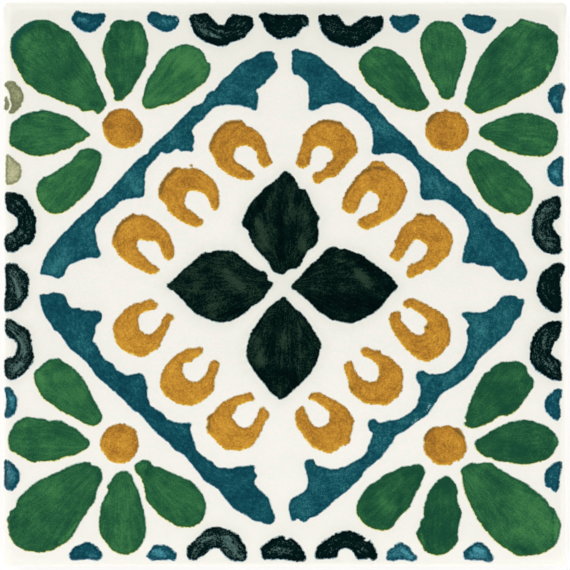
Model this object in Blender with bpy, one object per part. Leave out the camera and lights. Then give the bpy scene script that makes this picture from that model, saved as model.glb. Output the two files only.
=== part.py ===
"""A handmade, hand-painted wall tile, lying face up.

It is one fired piece: a square slab of earthenware with straight sides, rounded corners,
cushioned upper edges and a faintly crowned face. Metres, +Z up, origin at the centre of the back.
"""

import math

import bmesh
import bpy

# Driving dimensions of the slab
SIDE = 0.105
RIM_HEIGHT = 0.0068  # back to the face, where the cushioned edge ends
CROWN = 0.0003  # how much higher the middle of the face is than that
CORNER_RADIUS = 0.0012
BACK_CHAMFER = 0.0005  # worn lower edge

# The cushioned upper edge is a quarter of an ellipse
CUSHION_WIDTH = 0.0020
CUSHION_DROP = 0.0013
CUSHION_STEPS = 7

# Rings of the mesh. Their corners grow rounder towards the middle, as on a pillow
CORNER_EASE = 0.5
ROUNDEST = 0.6  # most that a ring's corner radius may be, as a share of half its width
CORNER_STEPS = 8
SIDE_STEPS = 10
FACE_RINGS = 6
MIDDLE_RADIUS = 0.010  # of the flat polygon that closes the face

# The tin glaze, a warm white
GLAZE_COLOUR = (0.85, 0.84, 0.79, 1.0)
GLAZE_ROUGHNESS = 0.2


def clear_scene():
    for obj in list(bpy.data.objects):
        bpy.data.objects.remove(obj)


def glaze_material():
    material = bpy.data.materials.new("tin_glaze")
    material.use_nodes = True
    shader = material.node_tree.nodes["Principled BSDF"]
    shader.inputs["Base Color"].default_value = GLAZE_COLOUR
    shader.inputs["Roughness"].default_value = GLAZE_ROUGHNESS
    shader.inputs["Metallic"].default_value = 0.0
    return material


def ring_points(inset, height):
    """One rounded square round the tile, anticlockwise from above, inset from its sides."""
    half = SIDE / 2 - inset
    radius = min(CORNER_RADIUS + CORNER_EASE * inset, ROUNDEST * half)
    straight = half - radius
    points = []
    for quarter in range(4):
        turn = quarter * math.pi / 2
        cos_turn, sin_turn = math.cos(turn), math.sin(turn)
        local = [(half, straight * (2 * k / SIDE_STEPS - 1)) for k in range(SIDE_STEPS)]
        for k in range(CORNER_STEPS):
            angle = k / CORNER_STEPS * math.pi / 2
            local.append((straight + radius * math.cos(angle), straight + radius * math.sin(angle)))
        points += [(x * cos_turn - y * sin_turn, x * sin_turn + y * cos_turn, height) for x, y in local]
    return points


def section():
    """(inset, height) of each ring, from the back, up the side and in over the face."""
    rings = [(BACK_CHAMFER, 0.0), (0.0, BACK_CHAMFER)]
    for k in range(CUSHION_STEPS + 1):
        angle = k / CUSHION_STEPS * math.pi / 2
        inset = CUSHION_WIDTH * (1 - math.cos(angle))
        rings.append((inset, RIM_HEIGHT - CUSHION_DROP * (1 - math.sin(angle))))
    rim_half = SIDE / 2 - CUSHION_WIDTH
    for k in range(1, FACE_RINGS + 1):
        half = rim_half + (MIDDLE_RADIUS - rim_half) * k / FACE_RINGS
        rings.append((SIDE / 2 - half, RIM_HEIGHT + CROWN * (1 - (half / rim_half) ** 2)))
    return rings


def slab_mesh():
    shape = bmesh.new()
    rings = [[shape.verts.new(p) for p in ring_points(*place)] for place in section()]
    for lower, upper in zip(rings, rings[1:]):
        for k in range(len(lower)):
            after = (k + 1) % len(lower)
            shape.faces.new((lower[k], lower[after], upper[after], upper[k]))
    shape.faces.new(reversed(rings[0]))
    shape.faces.new(rings[-1])
    mesh = bpy.data.meshes.new("tile")
    shape.to_mesh(mesh)
    shape.free()
    mesh.shade_smooth()
    mesh.set_sharp_from_angle(angle=math.radians(30))
    return mesh


def main():
    clear_scene()
    tile = bpy.data.objects.new("tile", slab_mesh())
    tile.data.materials.append(glaze_material())
    bpy.context.scene.collection.objects.link(tile)


main()
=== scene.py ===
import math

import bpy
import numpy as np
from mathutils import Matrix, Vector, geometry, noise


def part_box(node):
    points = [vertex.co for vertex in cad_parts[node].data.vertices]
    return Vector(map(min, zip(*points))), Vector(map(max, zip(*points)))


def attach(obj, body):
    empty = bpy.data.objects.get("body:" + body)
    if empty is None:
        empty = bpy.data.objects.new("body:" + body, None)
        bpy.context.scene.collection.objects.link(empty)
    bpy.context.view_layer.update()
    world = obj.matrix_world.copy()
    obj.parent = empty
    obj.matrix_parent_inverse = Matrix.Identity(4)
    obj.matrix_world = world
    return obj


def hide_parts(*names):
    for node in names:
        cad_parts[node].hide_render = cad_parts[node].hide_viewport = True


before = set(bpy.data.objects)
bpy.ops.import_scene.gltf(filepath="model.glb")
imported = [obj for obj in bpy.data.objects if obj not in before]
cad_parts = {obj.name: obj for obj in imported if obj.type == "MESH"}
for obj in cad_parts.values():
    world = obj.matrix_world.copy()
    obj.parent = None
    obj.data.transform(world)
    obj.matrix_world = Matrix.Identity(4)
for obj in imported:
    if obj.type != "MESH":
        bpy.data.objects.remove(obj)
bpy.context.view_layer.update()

# The looks of a handmade, hand-painted wall tile: a clay slab, the white glaze that runs over its
# edges, and the brush marks of coloured glaze that lie on its face.
# Working unit: millimetres, x right, y up, z out of the face, origin at the centre of the back.

MM = 0.001

# The slab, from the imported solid
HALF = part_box("tile")[1].x / MM
CROWN = 0.3
RIM_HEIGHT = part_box("tile")[1].z / MM - CROWN
CORNER_RADIUS = 1.2
CORNER_EASE = 0.5
ROUNDEST = 0.6
BACK_CHAMFER = 0.5
CUSHION_WIDTH = 2.0
CUSHION_DROP = 1.3

# Resolution of the slab
SIDE_STEPS = 120  # points along each side of a ring
CORNER_STEPS = 10
FACE_STEP = 0.75  # between the rings of the face
CUSHION_STEPS = 14
COAT_STEPS = 16  # rings of the glaze that hangs down the sides
BACK_STEP = 1.5
HALVINGS = 26  # rounds of the search for a ring through a point
CHUNK = 400  # points whose distances are worked out at once

# The white glaze
WAVE = 0.03  # height of the slow waves of the face, and how far apart they are
WAVE_LENGTH = 13.0
PEEL = 0.005  # the same for its fine dimples
PEEL_LENGTH = 2.2
COAT = 0.15  # thickness of the white glaze, and the share that it loses at its lower end
COAT_THIN = 0.4
COAT_END = 2.9  # height of its lower end, without the drips
COAT_TUCK = 0.05  # how far the lower end is turned into the clay
COAT_TUCK_RISE = 0.10  # how far up
COAT_LIP = 0.12  # height of the round of that end
BEAD = 0.05  # how much thicker the coat is there, over what share of its height
BEAD_SHARE = 0.15
SWELL = 0.06  # unevenness of the coat on the sides, which start that much further in
SWELL_LENGTH = 2.5
DRIP = 1.1  # how far the coat runs up and down, with small drips on the large ones
DRIP_LENGTH = 3.2
SMALL_DRIP = 0.6

# The clay
CLAY_GRAIN = 0.06
CLAY_GRAIN_LENGTH = 0.8
CLAY_STEP = 0.25  # between the rings of the sides
CHAMFER_ANGLES = (0.0, 0.4, 0.8, 1.2, math.pi / 2)
CLAY_TOP_IN = 0.6  # the uppermost ring, hidden in the coat
CLAY_TOP_RISE = 0.4

# The painted films
BLEED = 0.28  # how far a film's clear outer lip runs past its colour
EDGE_GAP = 0.05  # least distance from that lip to the sides of the tile
OUTLINE_STEP = 0.22
WOBBLE = 0.09  # unsteadiness of the brush, and a finer one on it
WOBBLE_LENGTH = 1.0
FINE_WOBBLE = 0.8
FINE_WOBBLE_LENGTH = 0.45
INSETS = (0.12, 0.25, 0.4, 0.6, 0.85)  # rows of points that follow the outline
FULL_ROW = 0.2  # a row nearer than this keeps every point, the others every second one
ROW_SLACK = 0.93  # least distance of a row's point from the outline, as a share of the row's inset
GRID_STEP = 0.45  # of the staggered grid inside them
ROW_HEIGHT = 0.866  # between rows of that grid, in steps
FILM = 0.05  # thickness, and how far in from the outline most of it is reached
FILM_REACH = 0.3
POOL = 0.03  # how much higher a film stands along its rim
POOL_PLACE = 0.5
POOL_WIDTH = 0.25
POOL_START = 0.2
SUNK = 0.004  # how deep a film's outline lies under the white glaze
SUNK_REACH = 0.04
LEAST_SWEEP = 4.0  # least radius at which the turn of brush lines is measured
CLEAR_POLE = 1.5  # a mark whose middle is nearer to its pole faces away from the tile's middle
SEED_STEP = 7.3  # keeps the brush lines of one mark unlike those of the next

# Colours as they look in the picture, 0 to 255
WHITE = (243, 240, 233)
WHITE_LOW = (240, 238, 231)
WHITE_GREY = (224, 223, 212)
WHITE_HALO = (224, 225, 214)
# the colour of the painted highlight on the white glaze's rim and lower parts
WHITE_PAINTED_HIGHLIGHT = (255, 253, 245)
WHITE_WARM = (254, 240, 238)
WHITE_COOL = (228, 240, 226)
CLAY = (214, 160, 126)
CLAY_LOW = (200, 141, 106)
CLAY_PALE = (232, 190, 158)
CLAY_DARK = (160, 104, 76)
FLOOR = (149, 150, 150)
FLOOR_LOW = (146, 147, 147)
FLOOR_GLOW = 2.45  # strength of the floor's own light

# Gloss
PAINT_ROUGHNESS = 0.15
WHITE_ROUGHNESS = 0.16
DRY_ROUGHNESS = 0.9
SPECULAR = 0.3

# The tints of the white glaze: how strong the halo is round each glaze, and how fast it fades
HALOS = {"black_glaze": 0.7, "green_glaze": 0.3, "blue_glaze": 0.3, "ochre_glaze": 0.1}
HALO_REACH = 1.0
HALO_END = 2.0  # it is looked for this far from the box round a mark
# Grey humps: x, y, spread across, spread up, strength
GREY_HUMPS = [(3, 50.4, 11, 1.4, 0.75), (0, 48, math.inf, 9, 0.4), (0, 0, 6, 6, 0.35)]
GREY_CORNER = 0.06  # strength of the grey of the upper right part, and where it starts and is full
GREY_CORNER_UP = (-12, 12)
GREY_CORNER_RIGHT = (-20, 0)
# Painted highlight: the white glaze drawn paler along its cushioned rim, fainter at the top and the left
PAINTED_RIM_HIGHLIGHT = (-1.8, -0.1)  # from the side of the tile, where the pale rim starts and is full
PAINTED_HIGHLIGHT_TOP = (52, 48, 0.25)  # y and x where it is faint and is full, and the share that stays
PAINTED_HIGHLIGHT_LEFT = (-57, -48, 0.7)
# Painted light on the lower parts, paler towards the bottom: y where each starts, y where it is full,
# strength
PAINTED_LOW_LIGHTS = [(-44.5, -48.5, 0.4), (-12, -27, 0.18)]

# The paint: sizes of its noises, in millimetres
CLOUD = 3.0
STREAK = 0.5
GRAIN = 0.24
SKIP_GRAIN = 0.35
FRAY_GRAIN = 0.45
BLOT_SPAN = (0.35, 0.95)  # where a smudge starts to show and is full, and how much it covers
BLOT_SHARE = 0.9
SKIP_SPAN = (0.7, 1.0)  # the same for the spots that the brush skipped, and how rough they are
SKIP_SHARE = 0.75
SKIP_ROUGH = 1.6
LOWER_LEFT = (-0.35, -0.94, 0.0)  # the side of a mark where its fringe shows
FACING_SPAN = (-0.1, 0.8)  # how far an edge has to face that way to show a little and all of it
RIM = 0.5  # width of the dark rim, and how dark it is
RIM_SHARE = 0.6
HEART = 1.3  # how far in from the edge of its colour a mark's lighter heart is full
EDGE_SPAN = (BLEED - 0.16, BLEED + 0.1)  # where the colour starts and is full
EDGE_FRAY = 0.6  # how ragged that is, as a share of the dark rim's fray

# Camera, straight above the face. The tile stands a little high in the picture
PICTURE_WIDTH = 105.75
PICTURE_DOWN = 0.13
SENSOR = 36.0
LENS = 120.0
CLIP_START = 0.01  # metres

# Floor and light
FLOOR_HALF = 2500.0
FLOOR_HEIGHT = -0.02
LAMP_DISTANCE = 0.9  # this and the size in metres
LAMP_SIZE = 1.08
# Azimuth and elevation in degrees, power in watts
LAMPS = {
    "key": (135, 33, 5.66), "fill_upper_right": (45, 33, 4.73), "fill_lower_right": (-45, 33, 4.98),
    "fill_lower_left": (-135, 33, 4.86),
}
WORLD_COLOUR = (1.0, 0.98, 0.95, 1.0)
WORLD_STRENGTH = 0.03

# Outlines of the marks: (x, y) points on the edge of the colour
GREEN_PETALS = {
    "petal_nw_nw": [
        (-50.9, 43.0), (-50.9, 45.0), (-50.5, 46.1), (-49.3, 47.4), (-48.3, 48.2), (-47.2, 48.7),
        (-45.6, 49.1), (-43.7, 48.9), (-42.5, 48.3), (-41.2, 47.4), (-39.9, 46.7), (-39.0, 45.5),
        (-37.9, 43.7), (-36.5, 41.6), (-35.6, 40.0), (-35.0, 37.8), (-34.4, 36.4), (-33.7, 35.0),
        (-33.4, 34.1), (-33.1, 33.5), (-33.6, 32.6), (-34.3, 31.8), (-34.9, 31.7), (-35.6, 32.3),
        (-37.4, 32.1), (-38.6, 33.0), (-40.2, 33.4), (-42.3, 34.3), (-44.1, 35.1), (-45.5, 35.5),
        (-46.8, 36.6), (-47.9, 37.2), (-48.9, 38.7), (-50.0, 40.7)],
    "petal_nw_n": [
        (-31.7, 48.7), (-30.6, 49.1), (-29.4, 48.8), (-28.4, 49.0), (-26.9, 48.5), (-26.2, 47.5),
        (-25.7, 45.9), (-25.4, 43.7), (-25.8, 41.9), (-25.9, 40.5), (-26.9, 38.7), (-27.5, 37.6),
        (-28.1, 36.7), (-28.4, 35.8), (-29.4, 35.0), (-30.1, 34.2), (-30.9, 34.0), (-31.7, 34.3),
        (-31.6, 35.1), (-32.1, 36.6), (-33.0, 38.2), (-33.4, 39.4), (-33.2, 40.9), (-33.7, 42.5),
        (-33.9, 43.7), (-33.5, 45.5), (-32.9, 46.8), (-32.4, 47.2), (-32.5, 47.8)],
    "petal_nw_w": [
        (-36.2, 27.6), (-36.5, 28.2), (-37.6, 29.0), (-38.9, 30.1), (-40.1, 30.9), (-42.3, 31.7),
        (-45.0, 32.4), (-45.8, 32.1), (-47.3, 31.9), (-48.9, 31.3), (-49.6, 30.7), (-50.4, 30.2),
        (-50.9, 29.1), (-51.1, 27.6), (-51.0, 26.0), (-50.0, 25.3), (-48.5, 24.5), (-47.1, 24.0),
        (-45.5, 23.8), (-44.1, 24.05), (-42.5, 24.3), (-41.4, 24.9), (-40.1, 25.2), (-38.9, 26.0),
        (-37.8, 26.5), (-36.9, 27.1)],
    "petal_nw_sw": [
        (-36.2, 25.2), (-35.1, 24.95), (-34.2, 24.3), (-34.1, 23.4), (-34.4, 22.0), (-35.1, 20.0),
        (-35.9, 18.2), (-36.9, 16.8), (-38.4, 15.4), (-39.8, 14.2), (-41.2, 13.4), (-42.3, 13.1),
        (-43.4, 13.2), (-44.4, 13.8), (-45.4, 14.9), (-46.0, 16.3), (-46.1, 17.4), (-45.9, 18.6),
        (-45.0, 19.7), (-43.5, 20.3), (-41.6, 21.6), (-39.8, 22.8), (-38.7, 24.0), (-37.8, 24.95)],
    "petal_nw_ne": [
        (-18.2, 44.5), (-17.0, 44.2), (-15.6, 43.4), (-14.9, 42.3), (-14.5, 41.3), (-13.9, 40.8),
        (-13.9, 39.4), (-14.7, 37.8), (-15.6, 36.9), (-17.0, 35.9), (-18.1, 35.1), (-19.5, 34.2),
        (-21.1, 33.5), (-23.1, 33.2), (-24.5, 32.65), (-25.8, 32.65), (-26.4, 33.4), (-26.5, 34.3),
        (-26.0, 35.9), (-25.6, 37.5), (-25.0, 38.7), (-24.3, 39.6), (-23.4, 41.4), (-22.5, 42.5),
        (-21.3, 43.5), (-19.9, 44.2)],
    "petal_ne_n": [
        (28.2, 48.9), (29.8, 48.7), (30.7, 48.7), (32.1, 47.6), (33.2, 46.0), (33.6, 44.6), (33.5, 42.5),
        (32.9, 40.1), (32.1, 37.8), (31.6, 36.0), (31.2, 34.8), (30.0, 34.3), (28.9, 34.8), (28.2, 36.4),
        (27.1, 38.2), (26.1, 40.5), (25.4, 42.8), (25.1, 44.6), (25.4, 46.2), (26.2, 47.6), (27.1, 48.4)],
    "petal_ne_ne": [
        (44.1, 49.3), (45.2, 48.9), (46.4, 48.6), (48.4, 48.1), (49.1, 47.4), (50.4, 46.4), (50.6, 45.0),
        (50.7, 43.4), (50.2, 41.6), (49.5, 39.8), (48.4, 38.2), (47.5, 37.1), (46.4, 36.4), (45.0, 35.6),
        (43.8, 35.05), (42.1, 34.2), (40.7, 33.3), (39.3, 32.8), (37.5, 32.0), (35.9, 31.7), (34.6, 32.4),
        (33.4, 33.4), (33.6, 34.4), (33.9, 36.2), (34.6, 38.0), (35.2, 39.8), (35.9, 41.6), (37.0, 43.2),
        (38.4, 45.0), (39.8, 46.3), (41.1, 47.6), (42.3, 48.0), (43.4, 49.0)],
    "petal_ne_e": [
        (36.0, 28.0), (36.2, 28.7), (36.8, 29.4), (38.2, 30.1), (40.0, 30.9), (41.4, 31.3), (42.9, 31.7),
        (45.0, 31.75), (46.6, 31.5), (48.2, 30.9), (49.8, 30.1), (50.4, 29.2), (50.7, 27.6), (50.4, 26.2),
        (50.0, 25.4), (49.3, 24.4), (48.0, 23.8), (46.2, 23.8), (43.9, 24.0), (42.0, 24.6), (40.7, 24.95),
        (39.3, 25.7), (38.2, 26.6), (37.1, 27.0), (36.3, 27.5)],
    "petal_ne_se": [
        (35.4, 25.1), (36.6, 24.8), (38.2, 24.1), (39.8, 23.2), (41.1, 22.6), (42.1, 21.7), (43.6, 20.7),
        (44.6, 19.3), (45.7, 18.1), (46.0, 16.8), (45.8, 15.2), (45.0, 14.0), (44.1, 13.2), (43.0, 12.9),
        (42.5, 13.2), (40.9, 13.2), (39.8, 13.5), (38.6, 14.3), (37.1, 15.4), (36.4, 16.5), (35.5, 18.1),
        (34.6, 19.9), (33.9, 21.6), (33.75, 23.1), (34.3, 24.4)],
    "petal_ne_nw": [
        (16.9, 44.1), (18.6, 43.7), (19.7, 43.5), (21.0, 42.7), (22.2, 41.7), (23.1, 40.5), (24.0, 39.2),
        (24.9, 37.5), (25.4, 36.0), (26.1, 34.8), (26.7, 33.4), (26.0, 32.6), (24.5, 32.1), (22.6, 32.5),
        (20.8, 33.0), (19.4, 34.1), (17.9, 35.1), (16.5, 36.3), (15.1, 37.5), (14.4, 38.9), (13.7, 40.3),
        (13.8, 41.4), (14.9, 42.8), (16.0, 43.7)],
    "petal_sw_nw": [
        (-43.4, -13.9), (-41.9, -13.8), (-41.2, -14.4), (-39.8, -15.2), (-38.5, -16.3), (-37.6, -17.4),
        (-36.7, -18.8), (-35.9, -20.6), (-35.0, -22.2), (-34.2, -23.8), (-33.9, -24.8), (-34.6, -25.8),
        (-35.3, -26.2), (-36.6, -26.0), (-38.4, -25.1), (-40.1, -24.2), (-41.9, -23.3), (-43.0, -22.4),
        (-44.8, -21.1), (-45.5, -20.1), (-46.2, -18.6), (-46.6, -16.9), (-46.4, -16.2), (-45.5, -15.4),
        (-44.4, -14.4)],
    "petal_sw_w": [
        (-47.8, -24.6), (-46.7, -24.8), (-44.8, -25.0), (-44.1, -25.3), (-42.8, -25.3), (-41.6, -25.3),
        (-40.7, -25.8), (-40.1, -26.2), (-39.1, -26.6), (-38.2, -27.3), (-37.5, -28.1), (-36.4, -29.0),
        (-36.4, -30.0), (-36.9, -30.5), (-37.8, -31.0), (-39.1, -31.7), (-40.5, -31.9), (-41.6, -32.3),
        (-42.6, -32.7), (-45.7, -32.8), (-46.2, -33.0), (-47.1, -32.9), (-48.5, -32.2), (-50.0, -31.3),
        (-50.9, -30.9), (-51.3, -29.6), (-51.4, -28.6), (-51.0, -27.5), (-50.4, -26.2), (-49.6, -25.4)],
    "petal_sw_sw": [
        (-36.4, -33.0), (-35.9, -33.6), (-34.8, -33.8), (-34.2, -34.5), (-33.9, -35.7), (-34.2, -36.8),
        (-34.9, -38.2), (-35.3, -40.0), (-36.2, -41.4), (-36.9, -42.5), (-37.8, -43.7), (-38.4, -44.8),
        (-39.1, -46.1), (-40.1, -47.5), (-41.6, -48.4), (-42.8, -49.1), (-44.1, -49.55), (-45.5, -49.7),
        (-46.7, -49.55), (-48.0, -49.4), (-49.1, -48.9), (-50.3, -48.0), (-51.0, -46.8), (-51.35, -45.4),
        (-51.4, -44.4), (-51.65, -43.8), (-51.5, -43.2), (-51.05, -42.8), (-51.1, -42.3), (-50.3, -41.7),
        (-49.85, -41.2), (-49.6, -40.0), (-48.4, -38.7), (-46.9, -37.3), (-45.1, -36.2), (-43.4, -35.4),
        (-41.6, -34.6), (-40.0, -33.8), (-38.4, -33.2)],
    "petal_sw_s": [
        (-30.9, -34.9), (-30.0, -34.7), (-29.2, -34.8), (-28.5, -35.5), (-28.0, -36.8), (-27.3, -38.2),
        (-26.9, -39.6), (-26.4, -41.4), (-26.0, -43.2), (-25.8, -45.0), (-26.0, -46.8), (-26.6, -48.2),
        (-27.6, -49.4), (-28.9, -50.0), (-30.1, -50.1), (-31.6, -49.6), (-32.6, -48.7), (-33.2, -47.9),
        (-34.1, -46.6), (-34.5, -44.6), (-34.3, -42.9), (-34.1, -41.1), (-33.4, -39.6), (-32.8, -38.4),
        (-33.0, -37.5), (-32.3, -36.6), (-31.6, -35.5)],
    "petal_sw_se": [
        (-27.9, -33.9), (-27.5, -33.2), (-26.4, -32.7), (-25.6, -32.6), (-25.0, -32.9), (-24.5, -33.7),
        (-23.2, -34.0), (-21.6, -34.7), (-19.9, -35.5), (-18.2, -36.2), (-17.2, -36.8), (-16.1, -37.9),
        (-15.3, -39.1), (-14.9, -40.2), (-14.7, -41.3), (-14.9, -42.5), (-15.4, -43.7), (-16.3, -44.5),
        (-17.4, -45.0), (-19.9, -44.9), (-21.3, -44.1), (-23.2, -42.9), (-24.3, -41.6), (-25.6, -40.2),
        (-25.9, -38.7), (-26.3, -37.0), (-26.9, -35.5), (-27.6, -35.0)],
    "petal_se_ne": [
        (40.0, -14.5), (41.4, -14.4), (42.7, -14.3), (43.9, -14.6), (44.8, -15.4), (45.0, -16.3),
        (45.9, -17.4), (46.2, -18.5), (45.8, -19.4), (45.0, -20.6), (44.1, -21.9), (42.9, -23.4),
        (41.4, -24.3), (40.2, -24.3), (39.1, -24.9), (37.9, -25.7), (36.4, -26.3), (34.8, -26.7),
        (33.7, -26.3), (33.2, -25.9), (33.7, -25.3), (33.4, -24.9), (33.7, -23.8), (34.3, -22.0),
        (35.0, -20.2), (35.5, -19.2), (36.4, -17.6), (37.1, -16.5), (38.0, -16.0), (38.9, -15.1)],
    "petal_se_e": [
        (35.3, -29.3), (36.1, -28.6), (37.5, -27.8), (38.9, -26.8), (40.4, -26.2), (42.0, -25.5),
        (43.8, -25.3), (45.0, -25.2), (46.4, -25.6), (48.2, -26.2), (49.3, -27.0), (50.2, -27.9),
        (50.8, -29.3), (50.2, -30.5), (49.6, -31.6), (48.6, -32.4), (47.1, -32.9), (45.9, -33.2),
        (44.5, -33.4), (43.0, -33.3), (41.1, -32.9), (39.1, -32.7), (38.2, -32.1), (37.3, -32.0),
        (36.2, -31.3), (35.4, -30.5)],
    "petal_se_se": [
        (32.6, -34.6), (33.2, -33.9), (34.5, -33.2), (35.7, -33.3), (38.0, -33.1), (39.1, -33.9),
        (40.4, -34.6), (41.8, -35.5), (43.2, -36.2), (44.8, -37.0), (46.2, -38.2), (47.7, -39.4),
        (48.6, -40.2), (49.1, -41.2), (50.0, -41.8), (50.7, -43.2), (51.2, -44.6), (51.0, -46.2),
        (50.5, -47.7), (49.8, -48.7), (48.6, -49.5), (47.5, -50.0), (46.1, -50.2), (44.5, -50.4),
        (43.2, -50.4), (42.3, -49.9), (41.6, -49.3), (40.4, -48.7), (39.1, -47.6), (37.9, -46.3),
        (36.9, -45.2), (35.9, -43.8), (35.2, -42.5), (34.6, -41.2), (33.9, -39.8), (33.4, -38.4),
        (33.0, -36.6), (32.9, -35.4)],
    "petal_se_s": [
        (30.0, -35.5), (30.9, -36.2), (31.6, -37.1), (32.0, -38.2), (31.9, -39.3), (32.1, -40.7),
        (32.7, -42.3), (32.5, -43.7), (32.1, -45.5), (32.05, -47.5), (31.4, -48.6), (30.5, -49.5),
        (29.3, -50.1), (27.9, -50.2), (26.6, -49.8), (25.7, -49.1), (25.2, -48.0), (24.7, -47.1),
        (24.5, -46.1), (25.0, -45.0), (25.2, -43.9), (25.7, -43.2), (25.9, -41.1), (26.4, -39.3),
        (27.1, -37.9), (28.2, -36.6), (29.3, -35.8)],
    "petal_se_sw": [
        (24.7, -33.4), (25.3, -33.6), (26.0, -34.7), (25.6, -35.9), (25.0, -37.5), (24.2, -38.9),
        (23.5, -40.4), (22.9, -41.6), (21.9, -42.5), (20.8, -43.7), (20.1, -44.8), (19.0, -45.5),
        (17.9, -45.7), (16.7, -45.4), (15.4, -44.9), (14.4, -44.1), (13.6, -43.0), (13.3, -41.6),
        (13.6, -40.2), (14.4, -38.9), (15.4, -37.5), (16.9, -36.6), (18.3, -35.5), (20.1, -34.7),
        (21.7, -33.9), (23.1, -33.75)],
}

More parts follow.
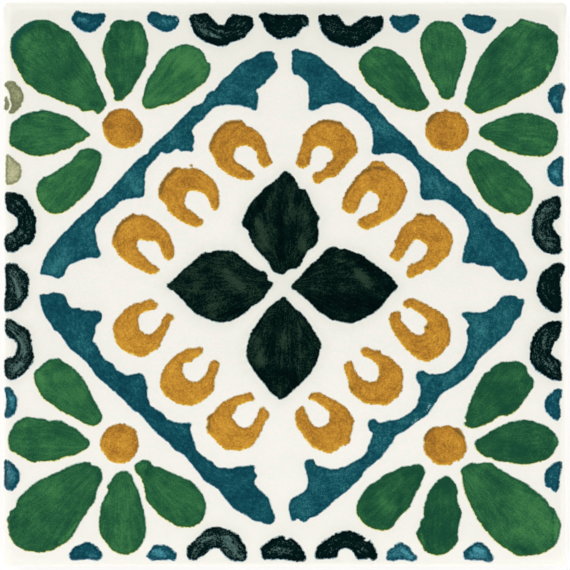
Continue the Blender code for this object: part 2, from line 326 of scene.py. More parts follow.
BLUE_BANDS = {
    "band_nw": [
        (-2.4, 43.2), (-2.0, 42.9), (-2.1, 42.1), (-1.6, 41.2), (-1.4, 40.3), (-2.0, 39.3), (-3.1, 38.2),
        (-4.0, 37.1), (-5.3, 36.1), (-5.0, 35.1), (-5.1, 33.4), (-5.3, 32.4), (-5.8, 32.3), (-6.5, 32.7),
        (-7.7, 33.1), (-9.5, 33.3), (-11.5, 33.3), (-13.2, 32.8), (-13.8, 32.2), (-14.5, 31.7),
        (-15.0, 30.9), (-16.1, 30.0), (-16.9, 29.2), (-17.3, 28.2), (-16.9, 27.4), (-16.9, 26.6),
        (-17.1, 25.7), (-17.0, 25.1), (-17.2, 24.7), (-18.1, 24.8), (-19.3, 24.8), (-19.9, 25.2),
        (-20.4, 25.0), (-21.3, 24.4), (-22.2, 24.3), (-23.0, 24.5), (-23.7, 23.6), (-24.5, 22.9),
        (-25.2, 22.0), (-25.8, 21.1), (-26.0, 19.9), (-26.1, 17.7), (-26.25, 16.4), (-27.1, 16.1),
        (-28.4, 16.0), (-29.8, 15.7), (-30.7, 15.4), (-31.4, 14.5), (-32.6, 13.7), (-33.7, 12.8),
        (-34.5, 11.8), (-35.3, 10.3), (-35.1, 9.3), (-35.0, 8.1), (-34.6, 6.6), (-34.2, 5.8), (-34.4, 5.2),
        (-35.0, 4.9), (-36.2, 5.0), (-37.1, 4.7), (-38.0, 4.5), (-38.9, 4.1), (-40.0, 3.7), (-40.5, 2.9),
        (-40.9, 2.0), (-41.6, 1.3), (-42.1, 1.1), (-43.2, 1.5), (-45.0, 1.9), (-45.4, 1.9), (-45.2, 2.9),
        (-44.8, 4.3), (-43.7, 6.5), (-43.0, 7.2), (-41.7, 8.8), (-40.1, 10.4), (-38.2, 12.4), (-36.2, 14.0),
        (-34.6, 15.7), (-33.4, 16.5), (-31.6, 18.4), (-29.8, 20.4), (-28.0, 22.4), (-26.7, 23.6),
        (-25.4, 24.3), (-25.1, 25.0), (-24.3, 25.9), (-22.9, 27.1), (-21.1, 28.7), (-19.3, 30.6),
        (-17.9, 31.9), (-17.2, 32.8), (-16.5, 33.2), (-15.9, 33.3), (-15.0, 34.0), (-14.5, 35.1),
        (-13.6, 35.9), (-12.9, 36.1), (-11.5, 38.0), (-10.2, 39.0), (-9.0, 40.3), (-7.4, 41.5),
        (-6.1, 41.9), (-5.2, 42.6), (-4.1, 43.1)],
    "band_ne": [
        (1.7, 43.5), (2.3, 43.7), (2.9, 43.3), (4.9, 42.9), (6.5, 42.1), (7.6, 40.9), (9.0, 39.9),
        (10.4, 38.4), (11.5, 37.5), (12.8, 36.7), (13.3, 35.9), (14.4, 35.1), (15.6, 33.8), (16.7, 33.2),
        (17.8, 31.7), (19.2, 30.1), (20.8, 28.7), (22.5, 27.2), (24.0, 25.7), (24.9, 24.2), (25.9, 23.25),
        (27.0, 22.4), (28.2, 21.5), (30.2, 19.5), (32.1, 18.2), (33.0, 17.0), (34.5, 15.7), (35.5, 14.3),
        (36.8, 13.5), (37.9, 12.4), (38.9, 10.75), (40.4, 9.7), (41.8, 8.4), (42.9, 6.8), (43.6, 5.0),
        (44.5, 3.6), (44.9, 2.2), (44.5, 1.1), (43.75, 0.7), (43.2, 1.1), (42.0, 0.75), (40.9, 1.0),
        (39.8, 1.9), (38.9, 2.9), (38.0, 3.4), (36.4, 3.5), (35.0, 4.0), (33.6, 3.9), (32.9, 4.3),
        (33.1, 5.75), (33.5, 7.5), (34.1, 9.3), (34.0, 10.4), (33.4, 12.2), (32.5, 13.2), (31.1, 14.4),
        (29.8, 15.3), (28.7, 15.75), (27.3, 15.7), (25.9, 15.7), (25.2, 16.5), (25.1, 18.0), (25.1, 19.9),
        (24.7, 21.1), (23.6, 22.5), (22.0, 23.8), (20.4, 24.4), (18.6, 24.3), (16.7, 24.1), (16.1, 24.7),
        (16.4, 26.1), (16.3, 28.0), (15.8, 29.6), (14.9, 30.8), (13.8, 31.8), (12.6, 32.6), (11.1, 33.4),
        (9.7, 33.7), (8.6, 33.5), (7.0, 33.2), (6.1, 32.6), (4.9, 32.2), (4.4, 32.4), (4.5, 34.2),
        (4.4, 36.0), (4.2, 37.3), (3.1, 38.4), (2.4, 38.8), (1.7, 39.1), (1.3, 40.1), (1.4, 42.3),
        (1.3, 43.1)],
    "band_sw": [
        (-45.5, -2.2), (-45.0, -1.9), (-44.1, -1.9), (-43.0, -1.6), (-41.9, -1.7), (-41.0, -2.0),
        (-40.5, -3.1), (-39.9, -4.2), (-39.1, -4.5), (-38.2, -4.45), (-37.1, -4.9), (-35.1, -4.9),
        (-34.1, -5.5), (-34.2, -6.7), (-35.1, -7.7), (-35.3, -9.0), (-35.7, -10.4), (-35.1, -11.1),
        (-34.2, -12.9), (-33.4, -14.0), (-31.9, -14.9), (-31.2, -15.9), (-30.0, -16.6), (-29.1, -16.9),
        (-28.0, -16.7), (-26.6, -16.6), (-26.0, -17.6), (-25.6, -19.2), (-25.6, -20.8), (-25.0, -22.4),
        (-24.1, -23.1), (-22.7, -24.0), (-22.0, -25.0), (-20.9, -25.4), (-19.9, -25.75), (-17.7, -25.75),
        (-17.4, -25.9), (-17.6, -27.0), (-17.3, -28.0), (-16.8, -29.5), (-16.5, -30.7), (-15.6, -31.6),
        (-14.5, -32.4), (-13.6, -32.9), (-12.7, -33.9), (-11.3, -34.1), (-10.0, -34.2), (-8.8, -33.9),
        (-7.4, -33.8), (-5.9, -33.65), (-5.5, -33.8), (-5.8, -34.6), (-5.3, -35.5), (-5.75, -36.6),
        (-5.4, -37.5), (-4.1, -38.7), (-3.1, -39.8), (-2.5, -41.6), (-1.9, -43.2), (-2.2, -44.1),
        (-3.1, -44.5), (-4.7, -44.0), (-5.9, -43.7), (-7.4, -42.7), (-9.1, -41.8), (-10.0, -41.0),
        (-10.9, -39.9), (-11.6, -39.1), (-12.2, -38.2), (-13.4, -37.3), (-14.9, -36.4), (-15.9, -35.0),
        (-17.0, -33.7), (-18.1, -32.3), (-19.1, -31.4), (-20.0, -30.9), (-20.9, -30.2), (-21.5, -29.4),
        (-22.7, -28.4), (-24.3, -27.0), (-25.9, -25.2), (-27.1, -23.8), (-28.0, -23.4), (-29.8, -21.5),
        (-31.6, -19.9), (-33.4, -18.3), (-35.0, -16.9), (-36.0, -15.4), (-37.3, -14.0), (-38.7, -12.8),
        (-40.0, -11.7), (-41.2, -9.9), (-42.1, -8.8), (-42.8, -8.4), (-43.5, -7.2), (-44.4, -6.0),
        (-45.0, -4.7), (-45.3, -3.3)],
    "band_se": [
        (40.0, -2.6), (40.7, -2.2), (41.8, -2.1), (42.9, -2.3), (43.4, -2.7), (44.3, -2.8), (44.3, -3.6),
        (43.9, -4.5), (43.7, -5.9), (42.7, -6.7), (42.1, -7.9), (41.2, -9.2), (39.8, -10.4), (38.6, -11.5),
        (37.3, -12.6), (36.2, -13.6), (35.4, -14.7), (34.8, -16.0), (33.9, -17.0), (32.5, -18.1),
        (31.2, -19.0), (30.0, -19.6), (28.9, -20.4), (28.0, -21.7), (27.0, -23.3), (26.1, -24.4),
        (25.2, -24.9), (24.5, -25.4), (23.5, -26.1), (22.4, -27.05), (21.5, -27.5), (20.6, -28.0),
        (19.9, -29.3), (19.2, -30.2), (18.5, -31.1), (17.9, -32.0), (16.9, -32.7), (15.8, -33.7),
        (14.7, -34.7), (13.8, -36.1), (12.7, -37.1), (11.5, -38.3), (9.7, -39.6), (8.3, -40.9),
        (6.9, -42.1), (5.8, -42.9), (4.5, -43.4), (3.8, -44.0), (2.9, -43.8), (2.4, -43.4), (1.9, -43.8),
        (1.3, -43.8), (1.0, -42.9), (0.8, -41.6), (0.9, -40.4), (1.5, -39.7), (2.75, -39.0), (3.8, -38.2),
        (4.2, -37.5), (4.3, -36.2), (4.1, -35.2), (3.7, -33.9), (3.7, -33.0), (4.4, -32.5), (5.2, -32.6),
        (5.8, -33.6), (7.0, -33.9), (8.5, -34.3), (10.1, -34.2), (11.5, -33.7), (12.9, -32.9),
        (14.4, -32.0), (15.1, -31.2), (15.6, -30.0), (16.0, -28.7), (16.3, -27.7), (15.7, -27.0),
        (15.4, -26.1), (15.6, -25.4), (16.5, -25.0), (17.2, -25.6), (17.9, -25.8), (19.2, -25.3),
        (20.6, -25.2), (22.2, -24.5), (23.5, -23.6), (24.4, -22.6), (24.9, -21.1), (25.2, -19.7),
        (25.1, -18.8), (24.5, -17.9), (24.4, -16.9), (24.8, -16.2), (25.6, -16.05), (26.1, -16.4),
        (27.0, -16.7), (28.6, -16.7), (30.4, -16.1), (31.6, -15.1), (32.7, -14.0), (33.4, -12.7),
        (33.9, -11.3), (33.9, -9.7), (33.75, -8.6), (34.2, -7.6), (33.5, -6.5), (32.8, -5.6), (33.4, -5.2),
        (34.1, -5.1), (35.2, -5.3), (37.0, -5.2), (37.9, -4.7), (39.1, -3.9)],
}

OCHRE_CRESCENTS = {
    "crescent_nw_1": [
        (-7.8, 30.2), (-8.3, 30.5), (-9.9, 30.3), (-11.1, 30.05), (-11.8, 29.5), (-12.4, 28.7),
        (-13.2, 27.8), (-13.8, 26.6), (-14.05, 25.1), (-13.5, 24.1), (-13.1, 23.4), (-12.7, 22.5),
        (-12.0, 21.6), (-10.9, 20.7), (-9.5, 20.0), (-8.1, 19.5), (-6.5, 19.4), (-5.7, 19.9), (-5.8, 20.4),
        (-6.5, 21.0), (-7.7, 21.8), (-9.0, 22.6), (-9.5, 23.3), (-9.4, 24.5), (-9.0, 25.3), (-7.7, 25.75),
        (-6.5, 25.6), (-5.6, 24.95), (-5.1, 24.1), (-4.9, 22.9), (-4.4, 22.1), (-3.8, 21.7), (-3.1, 22.0),
        (-2.4, 22.7), (-2.9, 23.6), (-3.2, 24.5), (-3.6, 25.9), (-4.0, 26.9), (-4.7, 27.9), (-5.7, 28.7),
        (-7.0, 29.3)],
    "crescent_nw_2": [
        (-23.4, 17.0), (-23.2, 18.4), (-22.6, 19.4), (-21.8, 20.5), (-20.9, 21.3), (-19.9, 21.7),
        (-19.2, 21.5), (-17.7, 21.5), (-16.5, 21.5), (-15.2, 20.8), (-14.0, 19.9), (-13.1, 19.0),
        (-12.5, 17.7), (-12.3, 16.6), (-12.3, 14.5), (-12.9, 13.7), (-13.5, 14.1), (-14.0, 15.4),
        (-14.7, 16.5), (-15.7, 17.2), (-17.2, 17.4), (-18.1, 17.1), (-18.5, 16.3), (-18.7, 15.0),
        (-18.1, 14.0), (-17.0, 13.3), (-16.1, 12.4), (-15.2, 11.9), (-15.6, 10.8), (-17.0, 10.8),
        (-18.1, 11.2), (-19.9, 12.2), (-21.5, 13.6), (-22.2, 15.0), (-23.2, 15.8)],
    "crescent_nw_3": [
        (-32.0, 7.5), (-31.9, 8.8), (-31.4, 10.0), (-30.5, 11.5), (-29.4, 12.4), (-28.2, 13.1),
        (-27.5, 12.8), (-26.2, 12.9), (-25.3, 12.4), (-24.3, 11.9), (-23.1, 11.0), (-22.0, 9.9),
        (-21.4, 9.0), (-20.9, 7.5), (-20.5, 6.3), (-20.7, 5.2), (-21.5, 4.5), (-22.2, 4.9), (-22.7, 5.9),
        (-23.4, 7.4), (-24.1, 8.0), (-25.4, 8.1), (-27.1, 8.25), (-27.5, 7.4), (-27.3, 6.5), (-26.3, 5.4),
        (-25.0, 4.0), (-24.0, 3.4), (-23.3, 2.7), (-23.8, 2.1), (-24.7, 1.9), (-26.1, 2.4), (-28.2, 3.4),
        (-30.0, 4.7), (-31.0, 5.9), (-31.7, 7.0)],
    "crescent_ne_1": [
        (6.9, 30.4), (8.8, 30.4), (10.1, 30.05), (10.8, 29.5), (12.0, 28.4), (12.9, 27.3), (13.3, 25.9),
        (13.5, 25.1), (13.1, 24.1), (12.2, 23.1), (11.1, 21.9), (10.2, 20.9), (9.2, 20.0), (7.9, 19.7),
        (6.9, 19.1), (6.0, 18.7), (5.3, 19.05), (5.1, 20.0), (5.6, 20.7), (6.7, 21.0), (7.7, 21.9),
        (7.9, 22.5), (8.8, 23.1), (8.9, 24.0), (8.6, 24.9), (7.7, 25.5), (6.7, 25.75), (5.6, 25.4),
        (4.9, 24.5), (4.7, 23.4), (4.4, 22.2), (3.6, 21.6), (2.6, 21.8), (2.1, 22.6), (2.5, 24.0),
        (2.9, 25.4), (3.3, 26.6), (3.4, 27.6), (4.0, 28.5), (5.3, 29.6)],
    "crescent_ne_2": [
        (10.6, 14.3), (10.8, 15.6), (11.1, 16.6), (12.0, 18.1), (12.9, 19.5), (14.2, 20.8), (15.4, 21.8),
        (16.1, 22.6), (17.0, 22.8), (18.1, 22.7), (18.8, 22.0), (19.4, 21.5), (20.4, 20.8), (21.3, 19.9),
        (22.0, 18.8), (22.6, 17.4), (22.3, 16.3), (21.9, 15.2), (21.1, 13.8), (20.2, 12.7), (19.0, 12.0),
        (17.7, 11.3), (16.5, 10.7), (15.4, 10.2), (14.5, 10.3), (13.6, 11.1), (13.6, 11.8), (14.7, 12.6),
        (16.1, 13.2), (17.2, 13.8), (17.3, 14.7), (17.6, 15.6), (17.2, 16.6), (16.3, 17.2), (15.4, 17.2),
        (14.5, 16.3), (14.0, 15.4), (13.5, 14.1), (12.7, 13.2), (11.9, 13.25), (11.0, 13.7)],
    "crescent_ne_3": [
        (24.5, 13.0), (25.2, 13.2), (26.1, 12.8), (27.3, 12.9), (28.2, 12.0), (29.5, 11.1), (30.5, 10.0),
        (31.1, 8.4), (30.9, 7.2), (30.4, 5.7), (29.3, 4.5), (28.4, 3.6), (27.3, 2.8), (26.1, 2.7),
        (25.2, 2.0), (24.6, 1.8), (23.5, 1.2), (22.6, 1.8), (22.9, 3.1), (23.5, 3.7), (24.5, 4.0),
        (25.6, 4.9), (26.2, 5.7), (26.5, 6.8), (26.0, 7.6), (24.9, 8.25), (24.0, 8.2), (23.3, 7.4),
        (22.4, 6.1), (21.7, 5.0), (21.0, 4.4), (20.1, 4.7), (19.4, 5.3), (20.2, 6.6), (20.6, 8.1),
        (21.1, 9.3), (21.7, 10.4), (22.7, 11.4), (23.8, 12.0)],
    "crescent_sw_3": [
        (-31.75, -8.5), (-31.7, -7.2), (-30.9, -6.1), (-29.6, -4.7), (-28.2, -3.8), (-26.6, -3.3),
        (-24.9, -2.8), (-24.1, -3.3), (-23.6, -3.7), (-24.0, -4.5), (-25.2, -4.8), (-26.1, -5.1),
        (-27.0, -5.6), (-27.3, -6.5), (-27.2, -7.6), (-26.75, -8.6), (-25.6, -9.35), (-24.3, -8.9),
        (-23.4, -7.9), (-22.7, -6.7), (-22.0, -5.5), (-21.5, -5.4), (-20.6, -6.0), (-20.7, -6.5),
        (-21.3, -7.0), (-21.6, -8.1), (-22.4, -9.5), (-23.1, -10.8), (-23.4, -11.7), (-24.7, -12.5),
        (-26.2, -13.4), (-28.0, -13.1), (-29.6, -12.4), (-30.9, -11.3), (-31.6, -9.9)],
    "crescent_sw_2": [
        (-18.1, -11.9), (-17.0, -11.9), (-15.6, -11.7), (-15.2, -12.3), (-15.6, -13.0), (-16.8, -13.7),
        (-17.7, -14.4), (-18.8, -14.7), (-19.05, -15.6), (-18.9, -16.7), (-18.2, -17.7), (-17.0, -18.1),
        (-15.9, -17.9), (-15.0, -17.0), (-14.3, -16.0), (-14.0, -14.9), (-13.2, -14.1), (-12.5, -14.4),
        (-12.2, -14.9), (-12.5, -16.1), (-13.1, -17.7), (-13.2, -19.5), (-14.0, -20.4), (-15.0, -21.3),
        (-16.3, -22.1), (-17.7, -22.4), (-19.5, -22.2), (-20.9, -21.5), (-22.0, -20.7), (-22.7, -19.9),
        (-23.1, -18.5), (-22.9, -17.0), (-22.4, -15.8), (-21.5, -14.4), (-20.0, -13.1), (-19.0, -12.5)],
    "crescent_sw_1": [
        (-14.4, -24.9), (-14.0, -24.3), (-13.2, -23.8), (-12.7, -23.1), (-11.6, -22.1), (-10.2, -21.2),
        (-8.8, -20.7), (-7.0, -20.2), (-6.2, -20.2), (-5.8, -21.0), (-5.7, -21.5), (-6.6, -21.6),
        (-7.5, -22.0), (-8.6, -22.4), (-9.3, -23.5), (-9.9, -24.5), (-9.3, -25.6), (-8.1, -26.6),
        (-6.8, -26.5), (-5.8, -25.6), (-5.2, -24.6), (-4.9, -23.7), (-4.6, -22.9), (-4.1, -22.7),
        (-3.3, -23.5), (-2.9, -24.2), (-3.4, -25.1), (-4.0, -26.0), (-4.3, -27.0), (-4.9, -28.2),
        (-5.7, -29.3), (-6.6, -30.2), (-8.4, -30.8), (-10.0, -30.6), (-10.9, -30.7), (-11.8, -30.0),
        (-12.9, -28.9), (-13.8, -27.9), (-14.4, -27.5), (-14.4, -26.1)],
    "crescent_se_3": [
        (22.0, -3.5), (22.7, -2.75), (24.0, -2.75), (25.2, -3.2), (26.5, -4.0), (28.4, -5.0), (29.5, -5.9),
        (30.2, -7.0), (30.6, -8.5), (30.7, -9.7), (30.4, -11.0), (29.6, -12.0), (28.7, -13.1),
        (27.5, -13.7), (26.5, -14.35), (25.1, -14.0), (24.0, -13.3), (22.7, -12.2), (21.7, -11.0),
        (20.6, -9.5), (19.9, -8.3), (19.4, -6.9), (19.4, -6.0), (20.1, -5.2), (21.0, -5.0), (21.4, -5.4),
        (21.4, -6.5), (22.2, -7.6), (23.1, -8.6), (24.2, -9.3), (25.1, -9.4), (26.0, -9.0), (25.9, -7.9),
        (26.4, -7.3), (26.4, -6.7), (25.8, -6.0), (24.7, -5.2), (23.6, -4.4), (22.2, -4.2)],
    "crescent_se_2": [
        (14.1, -12.7), (14.4, -11.9), (15.4, -11.7), (16.3, -12.3), (17.5, -12.3), (18.1, -13.1),
        (19.5, -13.6), (20.4, -14.5), (21.3, -15.4), (21.8, -16.5), (21.8, -18.3), (21.6, -19.7),
        (20.8, -20.8), (19.7, -21.7), (18.8, -22.4), (16.9, -22.2), (15.1, -22.1), (13.6, -21.1),
        (12.6, -20.2), (11.9, -19.2), (11.9, -18.1), (11.3, -16.5), (11.0, -15.1), (11.5, -14.4),
        (12.2, -14.3), (12.7, -15.1), (13.1, -16.3), (14.0, -17.4), (15.1, -18.0), (16.1, -18.2),
        (17.2, -17.6), (17.5, -16.3), (17.3, -15.2), (16.5, -14.2), (15.1, -13.4)],
    "crescent_se_1": [
        (4.4, -20.9), (5.2, -20.1), (6.5, -20.2), (8.1, -21.05), (9.7, -21.8), (11.3, -23.0), (12.2, -24.2),
        (12.7, -25.2), (12.5, -26.7), (12.2, -27.7), (11.9, -29.3), (11.3, -29.7), (10.8, -29.8),
        (9.9, -30.5), (8.6, -31.2), (7.7, -31.2), (6.5, -30.7), (5.2, -30.2), (4.2, -29.1), (3.3, -27.7),
        (2.3, -26.5), (2.1, -25.8), (1.9, -24.5), (2.3, -23.3), (3.4, -22.7), (3.8, -23.5), (4.4, -24.9),
        (5.1, -26.1), (6.1, -26.6), (7.4, -26.2), (8.3, -25.4), (8.4, -24.4), (8.1, -23.5), (7.0, -22.6),
        (5.8, -21.7), (4.5, -21.3)],
}

OCHRE_DISCS = {
    "disc_nw": [
        (-33.8, 29.3), (-33.2, 31.1), (-31.9, 32.2), (-30.0, 32.55), (-28.5, 32.0), (-27.8, 31.0),
        (-26.8, 30.0), (-26.4, 28.5), (-26.6, 27.1), (-27.3, 26.2), (-28.5, 25.5), (-30.5, 25.3),
        (-31.9, 25.8), (-33.2, 27.1)],
    "disc_ne": [
        (29.7, 32.4), (30.9, 32.0), (32.1, 31.9), (33.0, 31.0), (33.75, 29.8), (34.0, 28.5), (33.75, 27.1),
        (32.9, 25.9), (31.8, 25.0), (30.2, 24.8), (28.6, 25.0), (27.3, 25.7), (26.4, 27.1), (26.1, 28.5),
        (26.3, 30.0), (26.8, 31.0), (27.9, 31.8), (29.1, 32.0)],
    "disc_sw": [
        (-31.9, -26.2), (-30.3, -25.9), (-28.7, -26.4), (-27.7, -27.2), (-27.4, -28.6), (-27.3, -30.4),
        (-28.0, -31.8), (-29.2, -32.9), (-30.9, -33.2), (-32.5, -32.6), (-33.5, -31.4), (-34.2, -30.2),
        (-34.1, -28.7), (-33.2, -27.1)],
    "disc_se": [
        (25.8, -29.1), (26.1, -27.9), (27.0, -26.9), (27.9, -26.4), (28.8, -26.5), (30.2, -26.3),
        (31.6, -26.6), (32.7, -27.1), (33.3, -28.6), (33.7, -30.4), (33.2, -31.7), (32.2, -32.7),
        (31.6, -32.7), (30.7, -33.4), (29.1, -33.5), (27.9, -33.2), (26.8, -32.1), (25.9, -30.9)],
    "ochre_spot": [(-17.7, 22.05), (-17.4, 22.2), (-17.1, 22.05), (-17.15, 21.8), (-17.6, 21.8)],
}

BLACK_LEAVES = {
    "leaf_n": [
        (-0.2, 20.9), (-1.1, 19.9), (-2.4, 18.8), (-3.6, 18.0), (-4.5, 17.0), (-5.6, 15.9), (-6.5, 14.9),
        (-7.2, 13.5), (-7.9, 11.8), (-7.8, 10.75), (-7.0, 10.2), (-6.6, 9.0), (-5.75, 7.2), (-4.3, 5.4),
        (-3.1, 4.1), (-2.2, 2.5), (-1.1, 2.0), (-0.3, 1.8), (0.25, 2.4), (1.1, 2.9), (2.0, 2.9), (3.1, 4.0),
        (4.0, 5.9), (5.1, 6.8), (5.8, 7.5), (6.2, 9.1), (6.05, 11.3), (6.4, 12.2), (6.0, 13.0), (5.4, 14.0),
        (4.7, 15.6), (4.2, 16.8), (3.6, 17.6), (2.75, 17.7), (2.2, 18.8), (1.5, 19.9), (0.6, 20.75)],
    "leaf_w": [
        (-22.0, -0.1), (-21.6, 0.2), (-20.7, 0.75), (-19.3, 2.3), (-17.5, 3.8), (-15.9, 5.2), (-14.7, 6.0),
        (-14.1, 5.8), (-12.7, 6.2), (-9.9, 6.2), (-8.8, 5.6), (-7.4, 4.4), (-5.9, 3.2), (-4.7, 2.5),
        (-3.8, 2.4), (-3.3, 1.8), (-3.2, 0.9), (-2.2, 0.2), (-2.7, -0.7), (-3.4, -1.6), (-4.0, -2.6),
        (-5.2, -3.5), (-6.3, -4.2), (-7.0, -5.0), (-8.4, -5.9), (-9.9, -6.7), (-11.3, -7.0), (-12.7, -7.0),
        (-14.1, -6.5), (-15.6, -5.9), (-16.8, -5.2), (-17.9, -4.2), (-19.1, -2.75), (-20.6, -1.3),
        (-21.5, -0.8)],
    "leaf_e": [
        (1.2, -0.2), (2.2, 0.75), (3.3, 2.0), (4.5, 3.4), (6.1, 4.7), (7.0, 5.75), (7.9, 6.6), (9.2, 7.0),
        (10.1, 6.55), (11.5, 6.4), (12.9, 5.9), (14.4, 5.4), (15.5, 4.5), (16.8, 3.6), (18.3, 2.5),
        (19.5, 1.5), (20.4, 0.4), (20.9, -0.4), (20.6, -1.0), (19.7, -1.7), (18.6, -3.1), (17.6, -4.4),
        (16.5, -5.2), (15.1, -6.05), (13.6, -6.8), (12.2, -7.2), (10.8, -7.0), (9.2, -6.7), (7.9, -6.1),
        (6.7, -5.3), (5.6, -4.4), (4.5, -3.2), (3.1, -2.1), (2.1, -1.2), (1.3, -0.9)],
    "leaf_s": [
        (-0.4, -2.3), (-1.1, -2.9), (-2.0, -3.5), (-3.2, -4.5), (-4.3, -6.0), (-5.4, -7.6), (-6.2, -8.8),
        (-6.8, -10.6), (-7.1, -12.3), (-6.9, -14.0), (-6.0, -15.6), (-4.9, -17.2), (-3.6, -18.7),
        (-2.6, -20.1), (-1.6, -20.8), (-0.9, -21.3), (-0.1, -21.0), (1.0, -20.1), (2.0, -19.2),
        (3.3, -18.0), (4.4, -16.9), (5.2, -15.6), (5.9, -14.2), (6.4, -12.4), (6.7, -11.0), (5.7, -9.2),
        (5.1, -8.2), (3.8, -6.3), (2.9, -5.2), (2.0, -4.6), (1.0, -3.6), (0.2, -2.6)],
}

# Marks of the border, clockwise from the upper left corner: n, e, s and w side
BLUE_MOONS = {
    "moon_n_1": [
        (-39.5, 49.6), (-38.7, 50.7), (-38.0, 50.6), (-36.2, 50.15), (-34.4, 50.3), (-33.4, 50.05),
        (-33.35, 49.6), (-33.7, 48.7), (-34.5, 47.8), (-35.3, 47.1), (-36.4, 46.8), (-37.7, 47.1),
        (-38.9, 48.1), (-39.5, 48.9)],
    "moon_n_2": [
        (-25.5, 49.8), (-24.9, 50.5), (-24.05, 50.6), (-23.1, 50.1), (-21.6, 49.9), (-20.4, 49.8),
        (-19.8, 49.4), (-19.6, 48.7), (-20.2, 47.7), (-21.3, 47.0), (-22.5, 46.9), (-23.6, 47.4),
        (-24.3, 47.9), (-25.1, 48.5), (-25.5, 49.2)],
    "moon_n_3": [
        (19.4, 49.4), (19.9, 49.9), (21.1, 49.7), (22.7, 50.0), (24.5, 49.9), (25.0, 49.2), (24.5, 48.3),
        (23.3, 47.2), (22.2, 46.7), (21.05, 47.0), (20.1, 47.8), (19.6, 48.7)],
    "moon_n_4": [
        (33.0, 49.4), (33.75, 50.1), (35.0, 50.0), (36.1, 49.8), (37.3, 49.9), (38.6, 49.5), (39.2, 49.0),
        (38.7, 48.1), (37.9, 47.0), (36.4, 46.6), (35.0, 47.1), (33.9, 47.6), (33.1, 48.4)],
    "moon_e_1": [
        (49.0, 35.9), (50.0, 36.8), (51.2, 37.3), (51.8, 37.1), (52.1, 36.3), (51.7, 35.1), (51.4, 34.1),
        (51.5, 32.5), (51.3, 31.8), (50.2, 31.9), (49.5, 33.0), (48.9, 34.4)],
    "moon_e_2": [
        (51.2, 23.7), (51.7, 23.3), (51.6, 21.6), (51.6, 19.5), (51.6, 18.4), (51.1, 18.2), (50.0, 18.5),
        (49.1, 19.4), (48.7, 20.7), (49.0, 22.0), (49.9, 22.9)],
    "moon_e_3": [
        (50.0, -19.7), (50.9, -19.4), (51.4, -19.8), (51.2, -21.1), (50.9, -22.0), (51.1, -23.5),
        (51.1, -24.5), (50.5, -25.2), (49.5, -24.7), (48.5, -23.5), (48.2, -22.2), (48.75, -20.8)],
    "moon_e_4": [
        (50.0, -33.2), (51.1, -32.9), (51.4, -33.3), (51.2, -35.0), (50.9, -36.4), (50.9, -37.5),
        (50.4, -38.5), (49.8, -38.3), (49.3, -37.7), (48.6, -37.5), (48.2, -36.4), (48.4, -34.8),
        (49.1, -33.9)],
    "moon_s_4": [
        (33.2, -49.8), (33.75, -49.2), (34.6, -48.4), (35.7, -47.9), (36.8, -48.2), (37.7, -49.1),
        (38.3, -50.0), (38.7, -50.9), (38.1, -51.5), (36.4, -51.2), (34.5, -51.1), (33.4, -50.9)],
    "moon_s_3": [
        (18.9, -50.5), (19.2, -49.5), (20.2, -48.75), (21.1, -48.0), (22.0, -48.2), (23.2, -49.0),
        (23.6, -49.9), (24.4, -50.4), (24.4, -51.1), (23.6, -51.4), (22.4, -51.1), (21.0, -51.1),
        (20.1, -51.3), (19.0, -51.1)],
    "moon_s_2": [
        (-25.75, -50.4), (-25.0, -49.5), (-24.3, -48.5), (-23.1, -48.4), (-21.6, -48.7), (-20.75, -49.4),
        (-20.2, -50.0), (-20.4, -51.2), (-21.5, -51.1), (-22.9, -51.1), (-24.7, -51.2), (-25.4, -50.7)],
    "moon_s_1": [
        (-40.0, -50.2), (-39.7, -49.6), (-38.9, -48.7), (-37.8, -48.3), (-37.1, -47.9), (-36.1, -48.0),
        (-35.0, -48.7), (-34.2, -49.6), (-34.0, -50.5), (-34.8, -51.2), (-35.9, -51.1), (-37.1, -51.0),
        (-39.1, -51.2), (-39.8, -51.0)],
    "moon_w_4": [
        (-52.2, -32.9), (-51.7, -32.7), (-50.7, -33.2), (-49.8, -34.1), (-49.2, -35.0), (-49.3, -36.1),
        (-49.7, -37.1), (-50.5, -38.1), (-51.4, -38.2), (-52.1, -37.5), (-52.3, -36.4), (-52.1, -35.0),
        (-52.2, -33.7)],
    "moon_w_3": [
        (-52.1, -19.4), (-51.6, -19.1), (-50.7, -19.5), (-50.3, -20.4), (-49.7, -21.3), (-49.8, -22.6),
        (-50.1, -23.8), (-50.9, -24.5), (-51.7, -24.8), (-52.1, -24.2), (-51.8, -22.9), (-51.7, -21.3),
        (-51.9, -20.2)],
}

